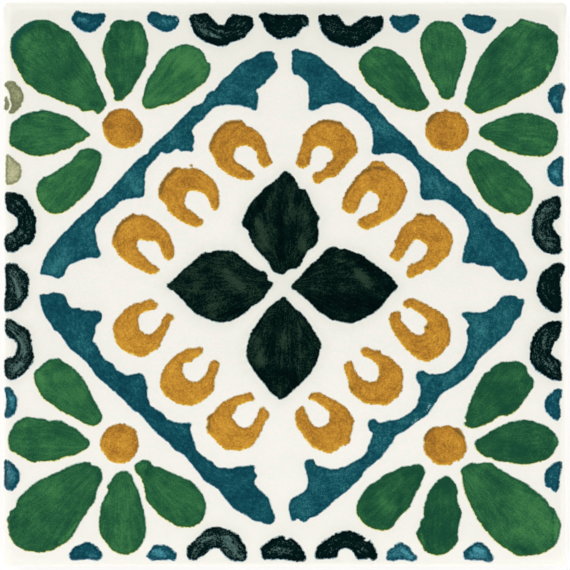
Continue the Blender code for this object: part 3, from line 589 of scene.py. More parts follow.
BLACK_ARCHES = {
    "arch_n_1": [
        (-17.8, 49.3), (-17.2, 50.1), (-16.3, 50.15), (-14.7, 50.3), (-13.9, 49.7), (-12.9, 48.7),
        (-12.2, 48.15), (-11.2, 48.15), (-10.9, 48.9), (-10.4, 49.5), (-9.7, 50.1), (-8.1, 49.9),
        (-6.5, 49.8), (-5.9, 48.8), (-5.9, 47.9), (-6.8, 46.7), (-7.7, 45.8), (-9.1, 45.2), (-10.0, 44.9),
        (-10.9, 44.3), (-12.0, 44.2), (-13.2, 44.5), (-14.9, 45.05), (-16.3, 46.0), (-17.0, 47.1),
        (-17.5, 48.4)],
    "arch_n_2": [
        (6.2, 49.6), (7.0, 50.1), (7.9, 49.9), (9.5, 50.05), (10.2, 49.5), (11.0, 48.4), (11.5, 48.0),
        (12.2, 48.0), (12.9, 48.5), (13.8, 49.2), (15.1, 49.8), (16.3, 49.6), (17.75, 49.8), (18.2, 49.4),
        (18.2, 48.4), (17.9, 47.2), (16.9, 46.4), (16.0, 45.8), (14.9, 44.8), (13.8, 44.3), (12.6, 44.0),
        (11.1, 44.2), (9.7, 44.6), (8.3, 45.2), (7.0, 46.7), (6.5, 48.0)],
    "arch_e_1": [
        (50.0, 16.3), (50.7, 16.4), (51.2, 15.6), (51.1, 14.1), (51.1, 12.9), (50.5, 12.2), (49.8, 11.6),
        (49.8, 10.6), (50.4, 9.5), (51.2, 8.6), (51.1, 7.4), (51.4, 6.2), (50.9, 5.75), (50.0, 5.6),
        (48.9, 5.75), (47.9, 6.2), (46.8, 7.2), (46.1, 8.4), (45.8, 9.9), (45.9, 11.5), (46.3, 13.1),
        (46.9, 14.3), (47.8, 15.4), (48.75, 15.8)],
    "arch_e_2": [
        (51.2, -6.8), (51.4, -7.2), (51.2, -8.6), (50.7, -10.1), (50.0, -10.8), (49.6, -11.9),
        (49.3, -12.8), (50.2, -13.6), (51.2, -14.5), (51.2, -16.0), (51.4, -17.6), (50.9, -17.9),
        (49.6, -17.7), (48.4, -17.0), (47.1, -16.3), (46.1, -15.2), (45.5, -13.8), (45.5, -12.0),
        (45.8, -10.4), (46.6, -9.0), (47.7, -7.75), (49.1, -7.0)],
    "arch_s_2": [
        (5.6, -50.4), (5.9, -49.1), (6.5, -48.2), (7.9, -47.2), (9.4, -46.3), (11.0, -45.8), (12.2, -45.8),
        (13.5, -46.3), (14.7, -47.05), (15.15, -47.75), (15.6, -47.3), (16.3, -48.2), (16.9, -49.5),
        (17.1, -50.7), (16.3, -51.3), (15.7, -50.75), (14.9, -51.0), (13.9, -51.1), (13.2, -50.6),
        (12.65, -49.6), (11.9, -49.1), (10.8, -49.0), (9.9, -49.5), (9.7, -50.4), (9.2, -50.8),
        (6.1, -50.9)],
    "arch_s_1": [
        (-18.2, -50.0), (-18.1, -48.9), (-17.2, -47.9), (-15.9, -46.7), (-14.9, -45.7), (-13.6, -45.2),
        (-12.2, -45.15), (-11.1, -45.4), (-9.9, -45.8), (-8.6, -46.6), (-7.9, -47.8), (-7.3, -48.9),
        (-7.05, -50.1), (-7.2, -50.9), (-7.9, -51.4), (-10.0, -51.2), (-10.9, -50.6), (-11.7, -49.7),
        (-12.2, -49.0), (-13.1, -48.9), (-14.1, -49.4), (-15.0, -50.2), (-16.1, -50.8), (-17.0, -51.2),
        (-17.9, -50.9)],
    "arch_w_2": [
        (-52.0, -7.4), (-51.4, -6.4), (-50.3, -6.8), (-49.1, -7.6), (-47.8, -8.4), (-47.3, -9.4),
        (-47.0, -11.1), (-46.7, -12.9), (-46.7, -14.2), (-47.5, -15.4), (-48.7, -16.7), (-49.8, -17.4),
        (-51.0, -17.7), (-51.9, -16.9), (-52.2, -15.6), (-52.1, -14.4), (-51.6, -13.8), (-50.3, -13.3),
        (-49.8, -12.2), (-49.7, -11.1), (-50.3, -10.3), (-51.4, -9.8), (-51.9, -8.8)],
    "arch_w_1": [
        (-51.95, 16.8), (-50.8, 17.05), (-49.2, 16.7), (-48.4, 16.2), (-47.6, 15.0), (-46.8, 13.7),
        (-46.3, 12.4), (-46.2, 10.9), (-46.4, 9.1), (-46.8, 8.0), (-47.6, 7.4), (-48.5, 7.3), (-49.4, 6.5),
        (-50.3, 6.0), (-51.4, 6.1), (-51.95, 6.8), (-52.2, 7.9), (-51.8, 9.0), (-50.7, 9.7), (-49.8, 10.7),
        (-49.6, 11.7), (-50.05, 12.7), (-51.3, 13.5), (-51.85, 14.9)],
}

BLACK_HALF_DISCS = {
    "half_disc_n": [
        (-4.9, 49.8), (-4.4, 50.3), (-3.6, 50.5), (-2.9, 50.2), (-1.1, 50.0), (1.9, 50.1), (3.5, 50.0),
        (4.2, 49.6), (4.4, 48.9), (4.2, 48.0), (3.3, 47.6), (2.3, 46.3), (1.3, 45.8), (0.1, 45.8),
        (-1.0, 45.4), (-2.0, 45.9), (-3.2, 46.8), (-3.9, 47.9), (-4.3, 49.0)],
    "half_disc_e": [
        (51.2, 3.95), (50.0, 3.85), (48.9, 3.1), (47.7, 2.2), (47.0, 0.7), (46.7, -0.7), (47.1, -2.6),
        (48.0, -4.0), (49.5, -5.1), (50.7, -5.2), (51.2, -4.9), (51.4, -3.6), (51.2, -1.7), (51.15, 0.9),
        (51.4, 1.5), (51.75, 2.1), (51.9, 2.8), (51.9, 3.4), (51.65, 3.8)],
    "half_disc_s": [
        (-4.5, -48.9), (-3.6, -48.1), (-2.4, -47.3), (-0.9, -46.7), (0.0, -46.8), (0.2, -47.4),
        (0.9, -47.1), (1.7, -47.5), (2.6, -48.4), (3.4, -49.4), (3.9, -50.7), (3.6, -51.3), (2.6, -51.4),
        (0.8, -51.2), (-0.9, -51.0), (-2.9, -51.1), (-4.1, -50.9), (-4.3, -50.0)],
    "half_disc_w": [
        (-52.0, 3.1), (-51.5, 3.85), (-50.0, 3.8), (-49.0, 2.9), (-48.0, 2.1), (-47.5, 0.9), (-47.7, -0.8),
        (-47.8, -2.2), (-48.7, -3.3), (-49.2, -4.2), (-50.3, -4.8), (-51.7, -5.1), (-52.2, -4.6),
        (-52.1, -2.9), (-51.9, -1.3), (-51.85, 1.0)],
}

OLIVE_WASHES = {
    "wash_w_1": [
        (-52.1, 37.1), (-51.5, 37.65), (-50.3, 37.65), (-49.6, 36.9), (-48.9, 36.0), (-48.5, 35.0),
        (-48.8, 33.7), (-49.4, 32.6), (-50.3, 31.8), (-51.3, 31.75), (-51.0, 32.5), (-50.7, 33.2),
        (-50.9, 34.1), (-51.3, 35.9), (-51.8, 36.6)],
    "wash_w_1_bit": [
        (-51.8, 35.3), (-51.5, 34.4), (-51.1, 33.2), (-51.6, 32.5), (-52.2, 32.3), (-52.0, 33.7),
        (-52.1, 34.2)],
    "wash_w_2": [
        (-51.75, 24.0), (-51.2, 23.9), (-50.3, 23.2), (-49.2, 22.2), (-49.0, 21.3), (-49.0, 20.2),
        (-49.4, 19.3), (-50.1, 18.8), (-51.2, 18.5), (-51.8, 18.9), (-51.8, 21.6)],
}

# The points that the petals of each corner fan out from
PETAL_POLES = {"nw": (-30.0, 29.0), "ne": (30.0, 28.6), "sw": (-30.8, -29.6), "se": (29.8, -29.8)}

# How light (above 0) or dark (below 0) a whole mark turned out
TONES = {
    "petal_nw_n": -0.25, "petal_nw_w": 0.1, "petal_nw_sw": 0.3, "petal_nw_ne": 0.55, "petal_ne_n": 0.2,
    "petal_ne_ne": -0.15, "petal_ne_nw": -0.2, "petal_sw_nw": 0.4, "petal_sw_s": 0.25, "petal_se_ne": -0.5,
    "petal_se_e": -0.65, "petal_se_se": 0.2, "petal_se_s": -1.0, "petal_se_sw": -0.6, "band_sw": -0.4,
    "band_se": 0.2, "crescent_nw_1": -0.25, "crescent_nw_3": 0.15, "crescent_ne_1": -0.2,
    "crescent_ne_3": 0.15, "crescent_sw_1": 0.35, "crescent_sw_2": 0.4, "crescent_sw_3": 0.25,
    "disc_nw": -0.3, "disc_ne": -0.35, "disc_se": -0.15, "arch_n_2": -0.3, "half_disc_n": -0.3,
    "half_disc_e": -0.3, "half_disc_w": 0.45, "arch_w_2": 0.85, "arch_s_1": 0.8, "arch_e_2": 0.1,
    "arch_e_1": 0.35, "arch_n_1": -0.1, "arch_s_2": -0.25, "leaf_e": -0.25, "leaf_s": 0.1, "moon_n_1": -0.6,
    "moon_n_2": -0.2, "moon_n_3": -0.3, "moon_e_2": 0.5, "moon_e_4": 0.15, "moon_s_1": -0.2,
    "moon_s_2": 0.6, "moon_s_3": 0.9, "moon_s_4": 0.5, "moon_w_3": 0.6, "moon_w_4": 0.25, "wash_w_1": -0.8,
    "wash_w_2": 1.1,
}

# Single strokes within the marks, thin or thick in colour: x, y to x, y, half width, light or dark turn
TONE_STROKES = [
    # petals, upper left
    (-47.8, 44.9, -47.0, 40.7, 1.6, 0.9), (-38.5, 36.0, -37.0, 34.3, 1.2, 0.6),
    (-50.4, 43.5, -48.5, 46.9, 0.7, -1.2), (-50.2, 43.5, -48.6, 39.6, 0.6, -1.0),
    (-48.2, 47.2, -44.5, 48.2, 0.5, -0.7), (-36.0, 33.2, -34.6, 33.4, 0.7, -1.0),
    (-42.0, 39.0, -38.5, 41.5, 2.2, -0.45), (-27.3, 46.2, -27.0, 43.2, 0.9, 1.0),
    (-31.8, 45.5, -32.2, 41.5, 0.8, -0.4), (-30.4, 48.2, -29.0, 48.0, 0.7, -0.6),
    (-30.5, 35.4, -30.2, 36.8, 0.8, -0.5), (-19.2, 41.5, -16.2, 40.8, 2.0, 0.8),
    (-24.4, 34.4, -22.0, 34.6, 0.9, 0.7), (-23.3, 36.8, -20.7, 41.4, 0.35, -0.9),
    (-39.5, 27.2, -37.6, 27.6, 0.5, 0.6), (-45.5, 26.0, -47.5, 28.0, 1.4, 0.25),
    (-44.3, 19.5, -43.0, 19.8, 0.3, 1.6), (-45.2, 16.0, -43.8, 15.2, 1.0, 0.6),
    (-37.4, 21.2, -36.6, 19.8, 0.9, -0.4),
    # petals, upper right
    (15.4, 41.8, 16.4, 40.6, 1.1, 0.5), (22.6, 37.4, 25.4, 34.4, 0.5, -0.6),
    (17.8, 43.6, 18.6, 43.3, 0.4, 0.8), (28.6, 39.0, 28.8, 37.0, 1.0, 0.6),
    (27.9, 44.4, 27.6, 42.0, 0.7, -0.5), (38.9, 43.5, 38.6, 36.6, 1.3, -0.6),
    (47.4, 44.6, 44.6, 37.8, 1.0, 0.55), (44.2, 48.8, 46.4, 48.0, 0.4, 1.3),
    (39.6, 45.8, 41.6, 47.4, 0.35, 1.0), (48.7, 40.6, 49.1, 39.6, 0.35, 2.2),
    (46.2, 45.4, 48.6, 46.4, 0.5, -0.5), (43.8, 28.6, 46.6, 28.4, 1.2, 0.5),
    (43.6, 26.9, 47.0, 26.8, 0.16, 1.8), (37.4, 28.4, 38.8, 28.8, 0.8, -0.5),
    (40.2, 18.8, 41.6, 16.4, 1.4, 0.45), (35.0, 22.6, 36.2, 21.4, 0.8, -0.5),
    # petals, lower left
    (-45.7, -16.4, -44.6, -19.2, 0.8, 0.8), (-41.7, -14.7, -40.7, -15.3, 0.6, -0.7),
    (-36.4, -20.2, -35.3, -23.0, 0.5, -0.6), (-45.8, -26.9, -40.2, -28.3, 0.3, -0.7),
    (-44.6, -29.6, -42.2, -30.6, 0.9, 0.4), (-48.6, -26.2, -47.4, -25.6, 0.5, 0.8),
    (-43.8, -38.2, -42.4, -39.6, 1.4, 0.7), (-37.9, -43.5, -41.5, -48.0, 0.22, 1.6),
    (-38.9, -42.4, -42.6, -48.2, 0.45, -1.0), (-50.4, -43.4, -50.3, -46.4, 0.8, -0.6),
    (-35.5, -35.4, -38.6, -38.4, 0.3, 0.8), (-36.4, -34.4, -39.6, -37.4, 0.25, 0.6),
    (-34.7, -34.6, -34.6, -37.2, 0.4, -0.8), (-30.1, -37.6, -29.8, -41.6, 1.1, 0.5),
    (-33.4, -42.4, -32.8, -46.8, 0.7, -0.5), (-26.6, -44.6, -27.2, -48.4, 0.6, -0.6),
    (-24.6, -36.8, -22.6, -38.2, 1.0, 0.6), (-25.1, -33.5, -25.7, -35.2, 0.3, -1.3),
    (-16.4, -42.8, -18.6, -44.2, 0.8, -0.6), (-21.4, -36.0, -18.2, -37.4, 0.9, 0.3),
    # petals, lower right
    (35.4, -25.2, 36.8, -24.6, 0.8, 0.7), (40.4, -20.4, 40.6, -22.8, 1.4, -0.4),
    (40.2, -27.6, 43.6, -28.0, 0.5, 0.6), (50.2, -28.4, 50.3, -29.4, 0.3, 1.5),
    (42.0, -30.6, 46.0, -31.2, 0.9, -0.5), (35.0, -35.8, 36.6, -37.2, 1.0, 0.7),
    (37.4, -34.6, 41.2, -38.6, 0.6, -0.7), (39.9, -40.6, 40.1, -41.2, 0.5, -0.7),
    (45.2, -40.8, 48.4, -45.0, 1.5, 1.2), (43.6, -46.2, 46.2, -46.8, 1.2, 0.6),
    (40.4, -48.0, 46.0, -49.7, 0.6, -0.9), (50.5, -42.6, 50.5, -47.6, 0.55, 1.7),
    (49.7, -42.4, 49.7, -47.8, 0.18, -1.2), (25.2, -46.0, 25.7, -48.4, 0.3, 2.0),
    (18.2, -40.6, 19.6, -41.4, 1.3, 1.1), (21.4, -38.8, 21.2, -42.0, 0.35, -0.8),
    (22.6, -35.4, 24.8, -34.6, 0.7, -0.6), (14.6, -41.0, 15.2, -43.2, 0.4, -0.6),
    # blue bands and moons
    (-43.2, 3.0, -41.2, 4.6, 1.6, 1.3), (-15.2, 32.8, -13.4, 34.6, 0.5, 0.9),
    (-28.4, 20.8, -27.4, 18.0, 1.2, 0.9), (-21.6, 28.0, -20.0, 26.6, 0.9, 0.5),
    (-6.5, 37.6, -4.4, 40.6, 1.4, -0.4), (-33.6, 9.6, -36.6, 7.2, 1.6, 0.4),
    (17.0, 29.6, 18.4, 28.4, 1.2, 0.7), (27.6, 19.6, 26.4, 18.0, 1.1, 0.6),
    (42.6, 3.4, 40.2, 4.2, 1.0, 0.5), (-38.2, -10.4, -36.6, -12.4, 1.1, 0.8),
    (-28.6, -17.8, -27.2, -18.0, 0.6, 0.8), (-19.4, -26.6, -18.2, -27.2, 0.6, 0.8),
    (-7.0, -36.0, -5.8, -35.0, 0.8, 0.5), (35.2, -10.6, 36.4, -9.2, 1.2, 0.9),
    (31.4, -17.2, 32.6, -16.0, 0.8, 0.7), (37.3, -12.4, 38.0, -11.8, 0.22, 2.6),
    (26.9, -22.9, 27.3, -22.3, 0.25, 2.6), (23.7, -26.0, 24.3, -25.6, 0.2, 2.2),
    (18.1, -31.0, 18.7, -31.5, 0.2, 2.4), (21.0, -27.7, 21.5, -27.3, 0.2, 1.8),
    (-38.2, 49.2, -36.8, 49.0, 0.45, 1.8), (-36.2, 47.8, -35.2, 48.2, 0.3, 1.0),
    (-22.6, 48.9, -21.4, 48.6, 0.4, 1.5), (49.9, 20.8, 50.4, 20.2, 0.5, 1.6),
    (50.2, 34.2, 50.4, 33.2, 0.4, 0.9), (-50.9, -21.0, -50.6, -22.2, 0.4, 1.3),
    (-51.0, -34.6, -50.6, -36.0, 0.5, 1.0), (-36.6, -50.1, -35.2, -50.3, 0.4, 0.9),
    (-24.2, -49.7, -22.8, -50.1, 0.5, 1.5), (21.8, -49.3, 23.4, -50.7, 0.3, 2.0),
    (35.2, -49.1, 36.6, -49.6, 0.4, 3.0), (34.4, -50.3, 37.2, -50.7, 0.4, 1.0),
    # ochre
    (-30.9, -29.6, -30.2, -30.2, 0.3, 1.4), (-31.2, -32.6, -30.4, -32.6, 0.3, 1.4),
    (-32.0, -27.0, -29.6, -27.2, 0.4, -0.7), (29.3, -29.7, 29.6, -29.9, 0.25, -1.6),
    (16.4, 22.4, 18.2, 22.3, 0.5, 1.3), (15.3, 21.0, 17.2, 21.7, 0.22, -1.8),
    (17.2, 21.7, 19.0, 21.3, 0.22, -1.8), (-20.5, 18.8, -17.0, 19.4, 0.5, -0.5),
    (30.6, 30.4, 32.2, 29.2, 0.7, 0.5), (28.2, 27.0, 29.4, 26.2, 0.6, -0.5),
    # black leaves
    (-3.0, 17.2, -6.9, 11.0, 0.7, -1.2), (-5.0, 11.4, -3.7, 7.6, 0.9, 1.5),
    (-3.4, 15.2, -3.2, 13.6, 0.6, 1.0), (3.1, 8.4, 3.6, 6.4, 0.8, 1.3), (4.2, 12.4, 4.0, 10.0, 0.7, 0.7),
    (1.0, 16.6, 1.2, 14.6, 0.6, 0.6), (-1.0, 13.0, -0.6, 5.0, 0.7, -1.0),
    (-10.8, 2.2, -8.0, -0.6, 0.8, 1.9), (-17.2, 3.0, -13.6, 4.4, 0.6, 0.8),
    (-14.6, -4.2, -11.0, -3.6, 0.5, 0.7), (-20.4, -0.9, -17.0, -1.2, 0.4, 0.7),
    (-12.0, -5.8, -8.6, -5.0, 0.5, -0.8), (9.6, 4.6, 12.6, 3.8, 0.5, 1.1),
    (13.6, 2.2, 15.8, -0.4, 0.9, 1.7), (4.8, -0.4, 7.4, -1.8, 0.5, 0.7),
    (10.0, -4.0, 16.0, -3.6, 1.6, -0.8), (-5.4, -10.2, -4.6, -13.8, 0.9, 1.0),
    (-0.4, -8.8, -0.2, -11.4, 0.7, 0.8), (2.7, -8.2, 2.8, -14.2, 0.2, 1.2),
    (0.4, -17.0, 1.6, -19.0, 1.2, -0.8),
    # black marks of the border
    (-16.3, 48.9, -14.7, 46.4, 0.2, 2.4), (-15.4, 48.2, -13.2, 46.1, 0.16, 1.8),
    (-13.8, 46.4, -11.8, 45.6, 0.18, 2.4), (-13.9, 47.3, -11.2, 46.8, 0.18, 2.0),
    (-9.6, 47.8, -7.4, 48.8, 0.3, 0.6), (7.8, 48.6, 9.2, 46.8, 0.4, 0.9), (3.3, 49.0, 3.9, 48.1, 0.25, 2.2),
    (15.6, 48.4, 16.8, 47.6, 0.3, 0.8), (48.7, 14.2, 46.8, 11.4, 0.45, 1.2),
    (47.0, 10.4, 48.2, 8.6, 0.5, 0.8), (49.2, -14.8, 50.3, -16.2, 0.7, 0.8),
    (48.3, -8.6, 48.0, -11.4, 0.35, 1.2), (49.9, -9.6, 49.7, -10.2, 0.25, 1.6),
    (47.6, 0.6, 47.8, -2.0, 0.5, 1.0), (-51.1, 8.9, -50.5, 8.6, 0.35, 1.8),
    (-48.9, 15.4, -50.6, 14.4, 0.4, 1.1), (-49.4, 9.9, -47.6, 8.8, 0.4, 0.6),
    (-50.6, 2.2, -49.2, -2.4, 0.6, 1.3), (-49.2, -9.8, -48.4, -12.6, 0.5, 1.4),
    (-48.8, -14.8, -50.4, -16.0, 0.5, 1.4), (-15.6, -47.2, -13.4, -46.8, 0.5, 1.2),
    (-10.6, -47.4, -9.6, -49.0, 0.6, 0.9), (-9.2, -49.8, -8.2, -50.6, 0.4, 1.2),
    (-3.0, -49.8, -1.0, -48.9, 0.25, 1.7), (1.0, -47.6, 1.6, -48.3, 0.3, 1.3),
    (13.6, -49.6, 14.6, -49.0, 0.2, 1.8), (8.4, -47.2, 9.6, -46.9, 0.5, 0.6),
]

# Where another glaze was picked up or pooled along an edge: x, y to x, y, half width
SMUDGES = [
    (8.2, 22.6, 8.4, 22.6, 0.5), (17.3, -12.3, 17.5, -12.3, 0.45), (6.0, -26.5, 6.2, -26.5, 0.4),
    (4.5, -20.7, 5.4, -20.0, 0.4), (26.2, -8.0, 26.4, -8.0, 0.5), (-17.5, 21.9, -17.3, 21.9, 0.4),
    (-13.9, 24.8, -13.7, 26.9, 0.5), (-13.7, 26.9, -11.8, 29.4, 0.5), (-11.8, 29.6, -8.1, 30.3, 0.3),
    (-8.4, 22.3, -6.5, 20.6, 0.25), (-23.2, 16.7, -22.4, 19.4, 0.5), (-22.4, 19.4, -19.7, 21.8, 0.5),
    (-31.8, 8.8, -30.6, 11.2, 0.5), (-30.6, 11.2, -28.0, 12.9, 0.45), (-33.7, 30.0, -32.3, 31.7, 0.3),
    (4.0, 28.9, 6.0, 30.1, 0.45), (6.0, 30.1, 8.4, 30.4, 0.5), (8.4, 30.4, 10.8, 29.6, 0.45),
    (11.2, 16.3, 12.2, 18.4, 0.4), (12.2, 18.4, 13.9, 20.4, 0.45), (13.9, 20.4, 15.8, 21.6, 0.45),
    (15.8, 21.6, 18.3, 21.3, 0.3), (24.5, 12.9, 27.5, 12.7, 0.35), (26.3, 29.6, 27.5, 31.3, 0.6),
    (27.5, 31.3, 28.6, 31.9, 0.4), (-14.2, -27.1, -14.1, -24.6, 0.45), (-14.1, -24.6, -13.5, -24.2, 0.4),
    (-12.8, -14.4, -12.6, -14.4, 0.4), (19.7, -7.4, 21.0, -9.8, 0.3), (12.0, -19.0, 13.2, -20.7, 0.45),
    (25.8, -29.5, 26.2, -27.8, 0.5), (26.2, -27.8, 27.5, -26.6, 0.5), (31.3, -26.6, 33.0, -28.2, 0.45),
    (-50.6, 41.8, -50.5, 44.7, 0.9), (-50.5, 44.7, -49.1, 47.1, 0.9), (-49.1, 47.1, -46.6, 48.7, 0.7),
    (-50.8, 30.0, -48.1, 31.7, 0.5), (-48.1, 31.7, -44.9, 32.2, 0.4),
]

# Where the brush skipped and the white shows through: x, y to x, y, half width
SKIPS = [
    (37.7, -12.0, 36.9, -12.9, 0.3), (36.6, -13.2, 36.1, -13.7, 0.25), (27.0, -22.1, 26.2, -23.6, 0.28),
    (24.9, -24.7, 23.6, -25.8, 0.25), (21.5, -27.6, 20.7, -28.2, 0.25), (18.7, -30.9, 18.1, -31.6, 0.25),
    (15.5, -33.8, 15.1, -34.2, 0.25), (50.8, 2.2, 51.3, 0.9, 0.28), (-42.4, -25.1, -41.9, -25.1, 0.45),
    (-20.2, 49.4, -20.1, 48.9, 0.3), (49.1, 22.2, 49.4, 21.8, 0.25),
]


def linear(red, green, blue):
    """A colour of the picture, 0 to 255, as the linear colour of a surface under this light."""
    parts = [c / 255 for c in (red, green, blue)]
    return tuple(c / 12.92 if c <= 0.04045 else ((c + 0.055) / 1.055) ** 2.4 for c in parts) + (1.0,)


def corner_radius(half):
    return np.minimum(CORNER_RADIUS + CORNER_EASE * (HALF - half), ROUNDEST * half)


def bumps(points, length, seed=0.0):
    """Smooth noise between about -1 and 1 at each (x, y)."""
    return np.array([noise.noise((x / length, y / length, seed)) for x, y in points])


def ring_half(points):
    """Half the width of the rounded square, of those that lie round the tile, on which each point lies."""
    far = np.abs(points)
    low = np.zeros(len(points))
    high = np.full(len(points), HALF)
    for _ in range(HALVINGS):
        half = (low + high) / 2
        radius = corner_radius(half)
        past = far - (half - radius)[:, None]
        gap = np.hypot(*np.maximum(past, 0).T) + np.minimum(past.max(1), 0) - radius
        low = np.where(gap > 0, half, low)
        high = np.where(gap > 0, high, half)
    return (low + high) / 2


def face_height(points):
    """Height of the white glaze at each (x, y): cushioned rim, faint crown and small waves."""
    half = ring_half(points)
    rise = np.clip(1 - (HALF - half) / CUSHION_WIDTH, 0, 1)
    drop = CUSHION_DROP * (1 - np.sqrt(1 - rise ** 2))
    crown = CROWN * (1 - np.minimum(half / (HALF - CUSHION_WIDTH), 1) ** 2)
    waves = WAVE * bumps(points, WAVE_LENGTH) + PEEL * bumps(points, PEEL_LENGTH, 5.0)
    return RIM_HEIGHT + crown - drop + waves * (1 - rise)


def ring(half):
    """The (x, y) points of one rounded square round the tile, anticlockwise."""
    radius = float(corner_radius(half))
    straight = half - radius
    quarter = [(half, straight * (2 * k / SIDE_STEPS - 1)) for k in range(SIDE_STEPS)]
    for k in range(CORNER_STEPS):
        angle = k / CORNER_STEPS * math.pi / 2
        quarter.append((straight + radius * math.cos(angle), straight + radius * math.sin(angle)))
    x, y = np.array(quarter).T
    return np.vstack([np.stack(side, 1) for side in ((x, y), (-y, x), (-x, -y), (y, -x))])


def ringed_mesh(name, rings, floored=False):
    """A mesh through rings of (x, y, z) points, closed at the last ring, and at the first if floored."""
    count = len(rings[0])
    faces = []
    for row in range(len(rings) - 1):
        for k in range(count):
            after = (k + 1) % count
            low, high = row * count, (row + 1) * count
            faces.append((low + k, low + after, high + after, high + k))
    last = (len(rings) - 1) * count
    faces.append(tuple(range(last, last + count)))
    if floored:
        faces.append(tuple(reversed(range(count))))
    return solid(name, np.vstack(rings), faces)


def solid(name, points, faces):
    mesh = bpy.data.meshes.new(name)
    mesh.from_pydata((np.asarray(points) * MM).tolist(), [], faces)
    mesh.shade_smooth()
    made = bpy.data.objects.new(name, mesh)
    bpy.context.scene.collection.objects.link(made)
    return made


def raised(points, heights):
    return np.column_stack([points, heights])


def glaze_coat():
    """The white glaze: the whole face, the cushioned rim, and runs that end unevenly down the sides."""
    outer = ring(HALF)
    run = bumps(outer, DRIP_LENGTH, 3.0) + SMALL_DRIP * bumps(outer, DRIP_LENGTH / 3, 8.0)
    end = COAT_END - DRIP * run
    start = end + COAT_LIP
    top = RIM_HEIGHT - CUSHION_DROP
    swell = SWELL * bumps(outer, SWELL_LENGTH, 11.0)
    tucked = ring(HALF - COAT - COAT_TUCK)
    rings = [raised(tucked, end + COAT_TUCK_RISE), raised(ring(HALF - COAT * COAT_THIN), end)]
    for k in range(COAT_STEPS):
        share = k / COAT_STEPS
        bead = BEAD * math.exp(-(share / BEAD_SHARE) ** 2)
        out = outer * (1 + (bead - SWELL + swell * math.sin(math.pi * share)) / HALF)[:, None]
        rings.append(raised(out, start + (top - start) * share))
    halves = [HALF - CUSHION_WIDTH * (1 - math.cos(k / CUSHION_STEPS * math.pi / 2))
              for k in range(CUSHION_STEPS)]
    halves += list(np.arange(HALF - CUSHION_WIDTH, FACE_STEP, -FACE_STEP))
    for half in halves:
        spot = ring(half)
        rings.append(raised(spot, face_height(spot)))
    return ringed_mesh("white_glaze", rings)


def clay_slab():
    """The fired clay under the glaze: it shows on the lower sides and on the back."""
    side = HALF - COAT
    places = [(half, 0.0) for half in np.arange(BACK_STEP, side - BACK_CHAMFER, BACK_STEP)]
    places += [(side - BACK_CHAMFER * (1 - math.sin(a)), BACK_CHAMFER * (1 - math.cos(a)))
               for a in CHAMFER_ANGLES]
    top = RIM_HEIGHT - CUSHION_DROP
    places += [(side, z) for z in np.arange(BACK_CHAMFER + CLAY_STEP, top, CLAY_STEP)]
    places.append((side - CLAY_TOP_IN, top + CLAY_TOP_RISE))
    rings = []
    for half, height in places:
        spot = ring(half)
        grain = CLAY_GRAIN * np.abs(bumps(spot, CLAY_GRAIN_LENGTH, 20 + height * 1.3))
        if half < side - BACK_CHAMFER:
            rings.append(raised(spot, height + grain))
        else:
            rings.append(raised(spot * (1 - grain / HALF)[:, None], np.full(len(spot), height)))
    return ringed_mesh("clay_slab", rings, floored=True)


def smooth_line(points):
    """The outline of a film: a closed Catmull-Rom curve round the points of the colour's edge,
    anticlockwise, moved out by the lip, with a small wobble of the brush."""
    spots = np.array(points)
    x, y = spots.T
    if (x * np.roll(y, -1) - y * np.roll(x, -1)).sum() < 0:
        spots = spots[::-1]
    before, after, later = (np.roll(spots, -n, 0) for n in (-1, 1, 2))
    curve = []
    for a, b, c, d in zip(before, spots, after, later):
        for t in np.linspace(0, 1, max(1, round(math.dist(b, c) / OUTLINE_STEP)), endpoint=False):
            curve.append(b + (c - a) / 2 * t + (a - 2.5 * b + 2 * c - d / 2) * t ** 2
                         + (1.5 * (b - c) + (d - a) / 2) * t ** 3)
    curve = np.array(curve)
    fine = bumps(curve, FINE_WOBBLE_LENGTH, 4.0)
    wobble = WOBBLE * (bumps(curve, WOBBLE_LENGTH, 2.0) + FINE_WOBBLE * fine)
    line = curve + outward(curve) * (wobble + BLEED)[:, None]
    return np.clip(line, EDGE_GAP - HALF, HALF - EDGE_GAP)


def outward(line):
    along = np.roll(line, -1, 0) - np.roll(line, 1, 0)
    along /= np.hypot(*along.T)[:, None]
    return np.column_stack([along[:, 1], -along[:, 0]])


def nearest(points, line):
    """The distance from each point to the closed line, and the unit direction towards it."""
    run = np.roll(line, -1, 0) - line
    gaps = []
    for chunk in np.array_split(points, len(points) // CHUNK + 1):
        offset = chunk[:, None] - line
        share = np.clip((offset * run).sum(2) / (run ** 2).sum(1), 0, 1)
        gap = share[..., None] * run - offset
        gaps.append(gap[np.arange(len(chunk)), (gap ** 2).sum(2).argmin(1)])
    gap = np.vstack(gaps)
    far = np.hypot(*gap.T)
    return far, gap / np.maximum(far, 1e-6)[:, None]


def inside(points, line):
    x, y = points.T
    odd = np.zeros(len(points), bool)
    for (x0, y0), (x1, y1) in zip(line, np.roll(line, -1, 0)):
        if y0 != y1:
            crosses = (y0 > y) != (y1 > y)
            odd ^= crosses & (x < x0 + (y - y0) * (x1 - x0) / (y1 - y0))
    return odd


def filling(line):
    """Points inside a closed line: rows that follow it, then an even staggered grid."""
    found = []
    for inset in INSETS:
        row = (line - inset * outward(line))[::1 if inset < FULL_ROW else 2]
        far, _ = nearest(row, line)
        found.append(row[inside(row, line) & (far > ROW_SLACK * inset)])
    low, high = line.min(0), line.max(0)
    grid = np.array([
        (x + GRID_STEP / 2 * (k % 2), y)
        for k, y in enumerate(np.arange(low[1], high[1], GRID_STEP * ROW_HEIGHT))
        for x in np.arange(low[0], high[0], GRID_STEP)
    ])
    grid = grid[inside(grid, line)]
    if len(grid):
        far, _ = nearest(grid, line)
        found.append(grid[far > INSETS[-1] + GRID_STEP / 2])
    return np.vstack(found)


